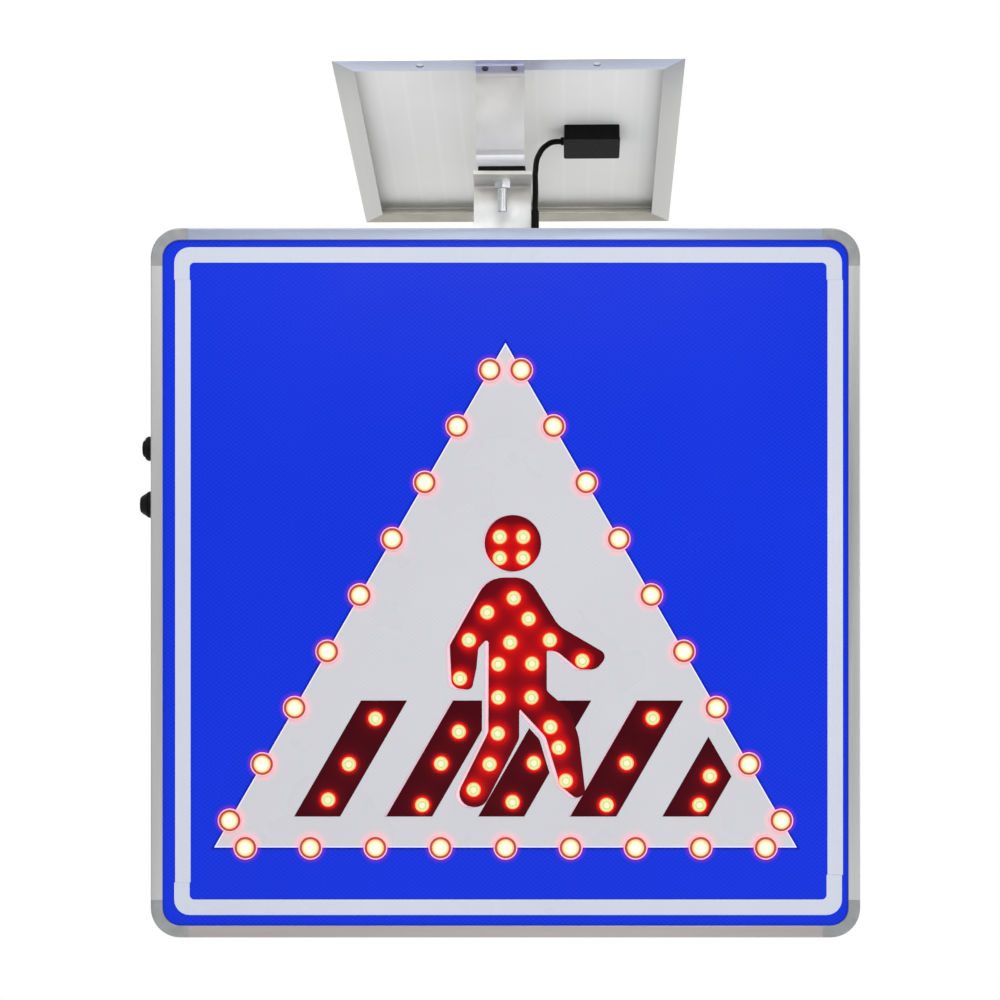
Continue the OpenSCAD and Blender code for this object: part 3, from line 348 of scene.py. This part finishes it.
def new_material(name, colour, roughness, metallic=0.0, specular=0.5, coat=0.0):
    made = bpy.data.materials.new(name)
    made.use_nodes = True
    parts = made.node_tree.nodes["Principled BSDF"]
    parts.inputs["Base Color"].default_value = (*colour, 1)
    parts.inputs["Roughness"].default_value = roughness
    parts.inputs["Metallic"].default_value = metallic
    parts.inputs["Specular IOR Level"].default_value = specular
    parts.inputs["Coat Weight"].default_value = coat
    parts.inputs["Coat Roughness"].default_value = 0.08
    return made.node_tree, parts


def add_bump(tree, parts, height, strength, distance):
    bump = tree.nodes.new("ShaderNodeBump")
    bump.inputs["Strength"].default_value = strength
    bump.inputs["Distance"].default_value = distance
    tree.links.new(height, bump.inputs["Height"])
    tree.links.new(bump.outputs[0], parts.inputs["Normal"])


def surface(name, light, dark, rough, scale, stretch=EVEN, bump=0.0002, strength=0.3, fine=6,
            **shader):
    """A finish whose colour, gloss and relief all vary a little over the piece."""
    tree, parts = new_material(name, light, sum(rough) / 2, **shader)
    patches = mottle(tree, scale, stretch, 0, 1)
    tree.links.new(mix_colours(tree, patches, dark, light), parts.inputs["Base Color"])
    tree.links.new(mottle(tree, scale * 1.7, stretch, *rough), parts.inputs["Roughness"])
    add_bump(tree, parts, mottle(tree, scale * fine, stretch, 0, 1), strength, bump)
    return tree, parts


# ---------- modelling helpers ----------

def deselect_all():
    for item in bpy.context.selected_objects:
        item.select_set(False)


def activate(item):
    deselect_all()
    item.select_set(True)
    bpy.context.view_layer.objects.active = item


def apply_place(item):
    activate(item)
    bpy.ops.object.transform_apply(location=True, rotation=True, scale=True)


def join_all(items, name):
    deselect_all()
    for item in items:
        item.select_set(True)
    bpy.context.view_layer.objects.active = items[0]
    if len(items) > 1:
        bpy.ops.object.join()
    items[0].name = name
    return items[0]


def copies_at(template, places, name):
    """Copies of a piece, each with its own mesh, joined as one. The piece itself is removed."""
    made = []
    for place in places:
        copy = template.copy()
        copy.data = template.data.copy()
        bpy.context.scene.collection.objects.link(copy)
        copy.location = place
        made.append(copy)
    bpy.data.objects.remove(template)
    for item in made:
        apply_place(item)
    return join_all(made, name)


def loose_centres(node):
    """Middle of each separate solid of a CAD node, sorted from low to high."""
    mesh = nodes[node].data
    co = np.zeros(len(mesh.vertices) * 3)
    mesh.vertices.foreach_get("co", co)
    co = co.reshape(-1, 3)
    keys = {}
    label = list(range(len(co)))

    def find(i):
        while label[i] != i:
            label[i] = label[label[i]]
            i = label[i]
        return i
    for i, p in enumerate(np.round(co, 6)):
        j = keys.setdefault(tuple(p), i)
        label[find(i)] = find(j)
    for face in mesh.polygons:
        first = find(face.vertices[0])
        for v in face.vertices[1:]:
            label[find(v)] = first
    solids = {}
    for i in range(len(co)):
        solids.setdefault(find(i), []).append(i)
    middles = [(co[s].min(0) + co[s].max(0)) / 2 for s in solids.values()]
    return sorted((Vector(m) for m in middles), key=lambda m: (round(m.z, 4), round(m.x, 4)))


def smooth(item, degrees=35):
    activate(item)
    bpy.ops.object.shade_smooth_by_angle(angle=math.radians(degrees))


def select_points(item, chosen):
    """Selects the points whose places pass a test, and leaves the piece in edit mode."""
    activate(item)
    bpy.ops.object.mode_set(mode="EDIT")
    bpy.ops.mesh.select_mode(type="VERT")
    bpy.ops.mesh.select_all(action="DESELECT")
    bpy.ops.object.mode_set(mode="OBJECT")
    for point in item.data.vertices:
        point.select = chosen(point.co)
    bpy.ops.object.mode_set(mode="EDIT")


def stepped_disc(name, radius, y, steps, sides=32):
    """A disc facing the front, inset and raised in steps of (inwards, outwards)."""
    deselect_all()
    bpy.ops.mesh.primitive_circle_add(vertices=sides, radius=radius, fill_type="NGON",
                                      location=(0, y, 0), rotation=(math.radians(90), 0, 0))
    item = bpy.context.object
    item.name = name
    apply_place(item)
    bpy.ops.object.mode_set(mode="EDIT")
    bpy.ops.mesh.select_mode(type="FACE")
    bpy.ops.mesh.select_all(action="SELECT")
    for inwards, outwards in steps:
        bpy.ops.mesh.inset(thickness=inwards, depth=outwards)
    bpy.ops.object.mode_set(mode="OBJECT")
    return item


def store_ring(item):
    """Keeps each point's distance from the piece's own axis, in millimetres, for its material."""
    ring = item.data.attributes.new("ring", "FLOAT", "POINT")
    ring.data.foreach_set("value", [math.hypot(v.co.x, v.co.z) / MM for v in item.data.vertices])


def finish_piece(item, material, body, replaces=()):
    item.data.materials.clear()
    item.data.materials.append(bpy.data.materials[material])
    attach(item, body)
    if replaces:
        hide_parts(*replaces)


# ---------- sizes read from the model ----------

edge_centres = loose_centres("edge_led_bezels")
symbol_centres = loose_centres("symbol_led_lenses")
film_low, film_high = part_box("triangle_film")
film_y = film_low.y
side = film_high.x - film_low.x
centre_z = film_low.z + side / math.sqrt(12)
base_row = [c for c in edge_centres if abs(c.z - film_low.z) < 0.002]
first = min(c.x for c in base_row) + side / 2
panel_low, panel_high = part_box("backsheet")
panel_middle = (panel_low + panel_high) / 2


# ---------- finishes of the face ----------

def face_film(name, colour, wall_colour, painted_edge_colour, painted_edge_band, glow_colour, glow_band, glow, rough,
              specular, wall_line):
    """Reflective film with fine cell walls, a painted edge line along the triangle's edges (a painted
    highlight on the white film, darker on the blue film) and a painted glow of the edge lights round
    them, in its colour and as emission.

    The bands are in millimetres: from the triangle's edge, and from the nearest light's axis.
    """
    tree, parts = new_material(name, colour, rough, specular=specular)
    wall = placed_group(tree, "cell_lattice", Cell=FILM_CELL * MM, Line=wall_line)
    tone = mottle(tree, 5, EVEN, 0, 1)
    base = mix_colours(tree, tone, tuple(c * 0.93 for c in colour), colour)
    base = mix_colours(tree, math_node(tree, "MULTIPLY", wall, 0.55), base, wall_colour)
    reach = placed_group(tree, "edge_light_distance")
    to_edge = math_node(tree, "ABSOLUTE", reach.node.outputs["Inwards"])
    # Painted edge line: a painted highlight along the triangle's edges on the white film, and darker
    # blue along them on the blue film
    edge = map_range(tree, to_edge, *painted_edge_band, 1, 0, smooth=True)
    base = mix_colours(tree, edge, base, painted_edge_colour)
    # Painted glow: light of the edge lights painted on the film, in its colour and as emission
    near = map_range(tree, reach, *glow_band, 1, 0, smooth=True)
    near = math_node(tree, "POWER", near, 1.6)
    base = mix_colours(tree, math_node(tree, "MULTIPLY", near, 0.6), base, glow_colour)
    tree.links.new(base, parts.inputs["Base Color"])
    lit = mix_colours(tree, near, BLACK, glow_colour)
    tree.links.new(lit, parts.inputs["Emission Color"])
    parts.inputs["Emission Strength"].default_value = glow
    tree.links.new(mottle(tree, 9, EVEN, rough * 0.75, rough * 1.25), parts.inputs["Roughness"])
    add_bump(tree, parts, wall, 0.12, 0.0001)


def make_face_films():
    face_film("blue_film", (0.005, 0.028, 0.64), (0.012, 0.05, 0.74), (0.004, 0.012, 0.38), (0.8, 2.6),
              glow_colour=(0.30, 0.01, 0.55), glow_band=(9, 15), glow=0.22, rough=0.22, specular=0.07,
              wall_line=0.16)
    face_film("white_film", (0.59, 0.59, 0.62), (0.53, 0.54, 0.58), (0.80, 0.80, 0.96), (0.3, 1.5),
              glow_colour=(0.95, 0.40, 0.46), glow_band=(9, 18), glow=0.16, rough=0.3, specular=0.25,
              wall_line=0.2)
    face_film("border_film", (0.58, 0.62, 0.71), (0.54, 0.58, 0.67), (0.58, 0.62, 0.72), (0.5, 2.0),
              glow_colour=(0.95, 0.60, 0.70), glow_band=(9, 18), glow=0.1, rough=0.3, specular=0.25,
              wall_line=0.2)


def lit_window(name, stops):
    """Red acrylic, lit from within round each light by the glow stored on its points."""
    tree, parts = new_material(name, UNLIT_RED, 0.12, specular=0.03)
    near = tree.nodes.new("ShaderNodeAttribute")
    near.attribute_name = "glow"
    grain = mottle(tree, 60, EVEN, 0.88, 1.0)
    lit = mix_colours(tree, 1.0, ramp(tree, near.outputs["Fac"], stops), grain, "MULTIPLY")
    brighter = tuple(c * 1.3 for c in UNLIT_RED)
    tree.links.new(mix_colours(tree, grain, UNLIT_RED, brighter), parts.inputs["Base Color"])
    tree.links.new(lit, parts.inputs["Emission Color"])
    parts.inputs["Emission Strength"].default_value = 1.0
    tree.links.new(mottle(tree, 12, EVEN, 0.08, 0.18), parts.inputs["Roughness"])


def make_lit_windows():
    lit_window("lit_walker", [(0, (0.03, 0.001, 0.002)), (0.2, (0.12, 0.002, 0.004)),
                              (0.32, (0.46, 0.004, 0.004))] + ROUND_A_LIGHT)
    lit_window("lit_stripe", [(0, (0.01, 0.001, 0.002)), (0.2, (0.07, 0.002, 0.003)),
                              (0.35, (0.26, 0.004, 0.005))] + ROUND_A_LIGHT)


def lit_lens(name, stops, reach, strength):
    """Lens colours by distance from its own axis, as [(millimetres, colour), ...]."""
    tree, parts = new_material(name, (0.9, 0.5, 0.2), 0.15, specular=0.3)
    ring = tree.nodes.new("ShaderNodeAttribute")
    ring.attribute_name = "ring"
    share = math_node(tree, "DIVIDE", ring.outputs["Fac"], reach)
    colours = ramp(tree, share, [(r / reach, colour) for r, colour in stops])
    grain = mottle(tree, 700, EVEN, 0.86, 1.0)
    varied = mix_colours(tree, 1.0, colours, grain, "MULTIPLY")
    body = mix_colours(tree, 0.85, varied, (0.02, 0.02, 0.02))
    tree.links.new(body, parts.inputs["Base Color"])
    tree.links.new(varied, parts.inputs["Emission Color"])
    parts.inputs["Emission Strength"].default_value = strength
    tree.links.new(mottle(tree, 300, EVEN, 0.1, 0.2), parts.inputs["Roughness"])


def make_lit_lenses():
    lit_lens("edge_lens", [(0, (1.0, 1.0, 0.86)), (3.8, (1.0, 0.97, 0.72)), (5.6, (1.0, 0.80, 0.42)),
                           (6.8, (1.0, 0.50, 0.20)), (7.4, (0.55, 0.07, 0.04)),
                           (8.3, (0.34, 0.02, 0.02)), (EDGE_LENS_R, (0.62, 0.12, 0.10))],
             reach=9.1, strength=1.0)
    lit_lens("symbol_lens", [(0, (0.95, 1.0, 0.76)), (1.9, (0.95, 1.0, 0.58)),
                             (3.2, (0.56, 0.66, 0.22)), (4.1, (0.95, 0.88, 0.40)),
                             (5.3, (1.0, 0.66, 0.26)), (SYMBOL_LENS_R, (1.0, 0.28, 0.08))],
             reach=6.2, strength=0.92)


# ---------- finishes of the metal ----------

def make_aluminium():
    along_x, along_y, along_z, rolled = (0.04, 1, 1), (1, 0.04, 0.1), (1, 1, 0.04), (0.15, 1, 1)
    rail = dict(metallic=1.0, bump=0.00004, strength=0.25, fine=8)
    # The frame's top and bottom rails share one aluminium; their different tints, blue on top and pink
    # below, are painted reflected light
    surface("rail_aluminium_top_painted_light", (0.33, 0.37, 0.45), (0.28, 0.32, 0.40), (0.28, 0.42), 60, along_x,
            **rail)
    surface("rail_aluminium_bottom_painted_light", (0.44, 0.39, 0.40), (0.37, 0.33, 0.34), (0.28, 0.42), 60,
            along_x, **rail)
    surface("box_aluminium", (0.56, 0.565, 0.56), (0.47, 0.475, 0.47), (0.28, 0.44), 60, along_z,
            **rail)
    # The panel's front rail is panel_aluminium made near-white and bluish: a painted highlight
    surface("panel_aluminium_front_painted_highlight", (0.80, 0.83, 0.94), (0.72, 0.75, 0.86), (0.28, 0.38), 50,
            along_x, **rail)
    surface("panel_aluminium", (0.60, 0.605, 0.585), (0.54, 0.545, 0.525), (0.3, 0.4), 20, along_y,
            **rail)
    surface("plain_aluminium", (0.73, 0.74, 0.75), (0.67, 0.68, 0.695), (0.32, 0.5), 40, rolled,
            metallic=1.0, bump=0.00004, strength=0.25)
    surface("corner_grey", (0.35, 0.355, 0.36), (0.27, 0.275, 0.28), (0.38, 0.5), 90, metallic=0.75,
            bump=0.00004, strength=0.35)
    surface("rivet_aluminium", (0.82, 0.82, 0.83), (0.68, 0.68, 0.69), (0.28, 0.45), 120,
            metallic=1.0)


def metal_with_painted_light_by_height(name, foot, stops):
    """Metal with light and shade painted up the piece in its colour and metallic, as [(millimetres
    above foot, colour, metallic), ...].
    """
    low, high = stops[0][0], stops[-1][0]
    tree, parts = new_material(name, stops[0][1], 0.4)
    where = tree.nodes.new("ShaderNodeTexCoord")
    axes = tree.nodes.new("ShaderNodeSeparateXYZ")
    tree.links.new(where.outputs["Object"], axes.inputs[0])
    share = map_range(tree, axes.outputs["Z"], foot + low * MM, foot + high * MM)
    places = [(rise - low) / (high - low) for rise, colour, metallic in stops]
    colours = [colour for rise, colour, metallic in stops]
    metals = [(metallic, metallic, metallic) for rise, colour, metallic in stops]
    # coat: the colours up the piece, which are painted light and shade
    coat = ramp(tree, share, list(zip(places, colours)))
    patches = mottle(tree, 45, EVEN, 0.86, 1.0)
    tree.links.new(mix_colours(tree, 1.0, coat, patches, "MULTIPLY"), parts.inputs["Base Color"])
    tree.links.new(ramp(tree, share, list(zip(places, metals))), parts.inputs["Metallic"])
    tree.links.new(mottle(tree, 60, EVEN, 0.38, 0.52), parts.inputs["Roughness"])
    add_bump(tree, parts, mottle(tree, 140, EVEN, 0, 1), 0.2, 0.00004)


def make_metals_with_painted_light():
    """The strap is painted white at its lower bend, a painted reflection, and lilac at its tab; the
    upright is white below, a painted reflection, and darker towards its shelf, painted shade; the
    panel's rear rail has painted shade on its foot and a painted reflection on its wall above.
    """
    shelf_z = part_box("upright")[1].z
    rail_foot_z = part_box("panel_rail_rear")[0].z
    # Painted reflections: the strap's bend is white where it mirrors the floor, and the rear rail's
    # inner wall is white where it mirrors the backsheet
    bend_painted_reflection, rail_wall_painted_reflection = (0.97, 0.97, 0.95), (0.95, 0.93, 0.86)
    # shaded_rail: painted shade on the foot of the panel's rear rail
    shaded_rail = (0.45, 0.43, 0.37)
    metal_with_painted_light_by_height("galvanised_steel", shelf_z,
                    [(-1, bend_painted_reflection, 0.1), (7.2, bend_painted_reflection, 0.1), (8, (0.46, 0.46, 0.48), 0.7),
                     (20, (0.52, 0.52, 0.53), 0.7), (73, (0.54, 0.53, 0.51), 0.7),
                     (75.5, (0.46, 0.46, 0.62), 0.7)])
    # The upright: white below as a painted reflection, and darker greyish brown towards the shelf as
    # painted shade under it
    metal_with_painted_light_by_height("bracket_steel_painted_light", shelf_z,
                    [(-48, (0.98, 0.98, 0.97), 0.9), (-22, (0.96, 0.96, 0.95), 0.9),
                     (-15, (0.78, 0.76, 0.71), 0.6), (0, (0.74, 0.72, 0.68), 0.6)])
    # The panel's rear rail: painted shade on its foot, and a painted reflection of the backsheet on its
    # wall above
    metal_with_painted_light_by_height("panel_aluminium_rear_painted_light", rail_foot_z,
                    [(-0.2, shaded_rail, 1.0), (5.3, shaded_rail, 1.0), (6.3, rail_wall_painted_reflection, 0.4),
                     (15.8, rail_wall_painted_reflection, 0.4)])


def make_fixings():
    surface("zinc_steel", (0.70, 0.71, 0.73), (0.52, 0.53, 0.55), (0.25, 0.42), 260, metallic=1.0,
            bump=0.00003)
    surface("dark_screw", (0.06, 0.055, 0.07), (0.03, 0.03, 0.035), (0.3, 0.45), 260, metallic=0.6)
    surface("brass", (0.80, 0.60, 0.26), (0.66, 0.47, 0.18), (0.25, 0.4), 250, metallic=1.0)


# ---------- finishes of the rest ----------

def make_plastics():
    dark = dict(specular=0.07)
    surface("black_plastic", (0.007, 0.007, 0.007), (0.004, 0.004, 0.004), (0.32, 0.5), 300,
            bump=0.00005, strength=0.35, **dark)
    surface("cable_sheath", (0.008, 0.008, 0.008), (0.004, 0.004, 0.004), (0.35, 0.5), 500,
            bump=0.00004, strength=0.3, **dark)
    surface("black_rubber", (0.012, 0.012, 0.012), (0.006, 0.006, 0.006), (0.6, 0.8), 350,
            bump=0.0001, strength=0.4, **dark)
    surface("bezel_plastic", (0.95, 0.62, 0.68), (0.92, 0.50, 0.55), (0.15, 0.25), 60)
    # lit_plate: its pink is painted red light of the lights on the face plate's visible strip
    surface("lit_plate", (0.92, 0.62, 0.68), (0.88, 0.54, 0.60), (0.4, 0.5), 40)
    surface("red_acrylic_backing", (0.25, 0.004, 0.01), (0.18, 0.003, 0.006), (0.2, 0.3), 50)


def make_inner_parts():
    surface("circuit_board", (0.02, 0.14, 0.06), (0.01, 0.08, 0.035), (0.3, 0.45), 180)
    surface("spacer_plastic", (0.76, 0.76, 0.70), (0.66, 0.66, 0.60), (0.4, 0.5), 200)
    surface("battery_wrap", (0.03, 0.07, 0.36), (0.02, 0.05, 0.28), (0.2, 0.32), 60, coat=0.3)
    surface("red_lead", (0.45, 0.02, 0.02), (0.32, 0.012, 0.012), (0.35, 0.45), 300)
    surface("solar_cell", (0.010, 0.018, 0.075), (0.006, 0.010, 0.045), (0.15, 0.25), 40, coat=0.4)


def make_backsheet():
    """Off-white sheet through which the gaps between the columns of cells show faintly."""
    tree, parts = new_material("white_backsheet", (0.8, 0.8, 0.75), 0.5, specular=0.35)
    where = tree.nodes.new("ShaderNodeTexCoord")
    flat = tree.nodes.new("ShaderNodeMapping")
    flat.vector_type = "TEXTURE"
    flat.inputs["Location"].default_value = panel_middle
    flat.inputs["Rotation"].default_value = (PANEL_TILT, 0, PANEL_TURN)
    axes = tree.nodes.new("ShaderNodeSeparateXYZ")
    tree.links.new(where.outputs["Object"], flat.inputs["Vector"])
    tree.links.new(flat.outputs[0], axes.inputs[0])
    column = math_node(tree, "DIVIDE", axes.outputs["X"], CELL_PITCH * MM)
    gap = map_range(tree, math_node(tree, "PINGPONG", column, 0.5), 0.02, 0.10, 1, 0, smooth=True)
    tone = mottle(tree, 7, EVEN, 0, 1)
    base = mix_colours(tree, tone, (0.86, 0.86, 0.84), (0.92, 0.92, 0.90))
    base = mix_colours(tree, math_node(tree, "MULTIPLY", gap, 0.28), base, (0.98, 0.98, 0.96))
    tree.links.new(base, parts.inputs["Base Color"])
    tree.links.new(mottle(tree, 30, EVEN, 0.4, 0.6), parts.inputs["Roughness"])
    add_bump(tree, parts, gap, 0.15, 0.0002)


def make_panel_glass():
    tree, parts = new_material("panel_glass", (0.9, 0.95, 1.0), 0.06)
    parts.inputs["Transmission Weight"].default_value = 1.0
    parts.inputs["IOR"].default_value = 1.45
    tree.links.new(mottle(tree, 150, EVEN, 0.03, 0.10), parts.inputs["Roughness"])
    add_bump(tree, parts, mottle(tree, 600, EVEN, 0, 1), 0.08, 0.0001)


# ---------- lights on the face ----------

def dome(steps, rise):
    """Steps of (millimetres inwards, share of the rise) as metres inwards and outwards."""
    return [(inwards * MM, rise * share) for inwards, share in steps]


def edge_lights():
    """Threaded lights: a raised rim, a groove inside it, and a domed lens."""
    front_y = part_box("edge_led_lenses")[0].y
    rim_y = film_y - RIM_LIFT * MM
    rim = [(inwards * MM, outwards * MM) for inwards, outwards in EDGE_RIM]
    lens = stepped_disc("edge_light", EDGE_LENS_R * MM, rim_y, rim + dome(EDGE_DOME, rim_y - front_y))
    store_ring(lens)
    lenses = copies_at(lens, [(c.x, 0, c.z) for c in edge_centres], "edge_lights")
    smooth(lenses, 60)
    finish_piece(lenses, "edge_lens", "sign_box", ["edge_led_lenses"])


def edge_bezels():
    """Round rings whose rear half is pressed flat on the face."""
    low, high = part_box("edge_led_bezels")
    middle_y = low.y + BEZEL_SET_BACK * MM
    deselect_all()
    bpy.ops.mesh.primitive_torus_add(major_segments=40, minor_segments=12,
                                     major_radius=BEZEL_R * MM, minor_radius=BEZEL_WIRE_R * MM,
                                     location=(0, middle_y, 0), rotation=(math.radians(90), 0, 0))
    ring = bpy.context.object
    apply_place(ring)
    select_points(ring, lambda co: co.y > middle_y + WELD)
    bpy.ops.transform.resize(value=(1, 0, 1), center_override=(0, high.y, 0))
    bpy.ops.object.mode_set(mode="OBJECT")
    store_ring(ring)
    rings = copies_at(ring, [(c.x, 0, c.z) for c in edge_centres], "edge_bezels")
    smooth(rings, 50)
    finish_piece(rings, "bezel_plastic", "sign_box", ["edge_led_bezels"])


def symbol_lights():
    front_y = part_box("symbol_led_lenses")[0].y
    base_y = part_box("walker_window")[0].y - LENS_LIFT * MM
    lens = stepped_disc("symbol_light", SYMBOL_LENS_R * MM, base_y, dome(SYMBOL_DOME, base_y - front_y))
    store_ring(lens)
    lenses = copies_at(lens, [(c.x, 0, c.z) for c in symbol_centres], "symbol_lights")
    smooth(lenses, 60)
    finish_piece(lenses, "symbol_lens", "sign_box", ["symbol_led_lenses"])


def cut_into_grid(item, low, high, step):
    """Cuts a flat piece along X and Z, so that it has points enough to hold a glow."""
    activate(item)
    bpy.ops.object.mode_set(mode="EDIT")
    bpy.ops.mesh.select_mode(type="VERT")
    bpy.ops.mesh.select_all(action="SELECT")
    bpy.ops.mesh.remove_doubles(threshold=WELD)
    for axis in (0, 2):
        place = low[axis] + step
        while place < high[axis]:
            point, normal = [0, 0, 0], [0, 0, 0]
            point[axis], normal[axis] = place, 1
            bpy.ops.mesh.select_all(action="SELECT")
            bpy.ops.mesh.bisect(plane_co=point, plane_no=normal)
            place += step
    bpy.ops.object.mode_set(mode="OBJECT")


def store_glow(item, spread):
    """Keeps the light that reaches each point from the symbol's lights, from 0 to 1."""
    co = np.zeros(len(item.data.vertices) * 3)
    item.data.vertices.foreach_get("co", co)
    flat = co.reshape(-1, 3)[:, [0, 2]]
    lights = np.array([(c.x, c.z) for c in symbol_centres])
    gap = np.hypot(flat[:, None, 0] - lights[None, :, 0], flat[:, None, 1] - lights[None, :, 1])
    gap = np.maximum(gap - FULLY_LIT_R * MM, 0)
    soft = 1 - np.exp(-0.8 * np.exp(-gap / (spread * MM)).sum(1))
    close = np.exp(-gap.min(1) / (CLOSE_GLOW * MM))
    glow = item.data.attributes.new("glow", "FLOAT", "POINT")
    glow.data.foreach_set("value", ((soft + close) / 2).astype(np.float32))


def lit_copy(node, name, material, spread):
    """A finer copy of a window that stores the light reaching each point."""
    item = nodes[node].copy()
    item.data = nodes[node].data.copy()
    item.parent = None
    for key in list(item.keys()):
        del item[key]
    bpy.context.scene.collection.objects.link(item)
    item.name = name
    low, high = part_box(node)
    cut_into_grid(item, low, high, WINDOW_GRID * MM)
    store_glow(item, spread)
    finish_piece(item, material, "sign_box", [node])


# ---------- cable ----------

def panel_cable():
    low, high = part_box("cable_gland")
    foot = Vector(((low.x + high.x) / 2, (low.y + high.y) / 2, high.z))
    route = [foot + Vector(p) * MM for p in CABLE_ROUTE][::-1]
    data = bpy.data.curves.new("panel_cable_line", "CURVE")
    data.dimensions = "3D"
    data.bevel_depth = CABLE_D / 2 * MM
    data.bevel_resolution = 5
    data.resolution_u = 8
    data.use_fill_caps = True
    line = data.splines.new("BEZIER")
    line.bezier_points.add(len(route) - 1)
    for point, place in zip(line.bezier_points, route):
        point.co = place
        point.handle_left_type = point.handle_right_type = "AUTO"
    cable = bpy.data.objects.new("panel_lead", data)
    bpy.context.scene.collection.objects.link(cable)
    activate(cable)
    bpy.ops.object.convert(target="MESH")
    cable = bpy.context.object
    smooth(cable, 60)
    cable.data.materials.append(bpy.data.materials["cable_sheath"])
    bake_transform(cable)
    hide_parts("panel_cable")


# ---------- putting it together ----------

def dress_nodes():
    """Each node that is still shown gets the finish of its own, or else of its material slot."""
    for row in frame["record"]["subparts"]:
        node, slot = row["node"], row["material_slot"]
        if nodes[node].hide_render:
            continue
        nodes[node].data.materials.clear()
        nodes[node].data.materials.append(bpy.data.materials[NODE_FINISHES.get(node, slot)])


add_camera()
add_world()
for softbox in SOFTBOXES:
    add_softbox(*softbox)
make_mottle_group()
make_lattice_group()
make_edge_light_group(centre_z, side, first, len(base_row))
add_floor()
make_face_films()
make_lit_windows()
make_lit_lenses()
make_aluminium()
make_metals_with_painted_light()
make_fixings()
make_plastics()
make_inner_parts()
make_backsheet()
make_panel_glass()
edge_lights()
edge_bezels()
symbol_lights()
lit_copy("walker_window", "lit_walker_window", "lit_walker", 8)
lit_copy("stripe_windows", "lit_stripe_windows", "lit_stripe", 5.5)
panel_cable()
dress_nodes()

scene = bpy.context.scene
scene.view_settings.view_transform = "Standard"
scene.view_settings.look = "None"
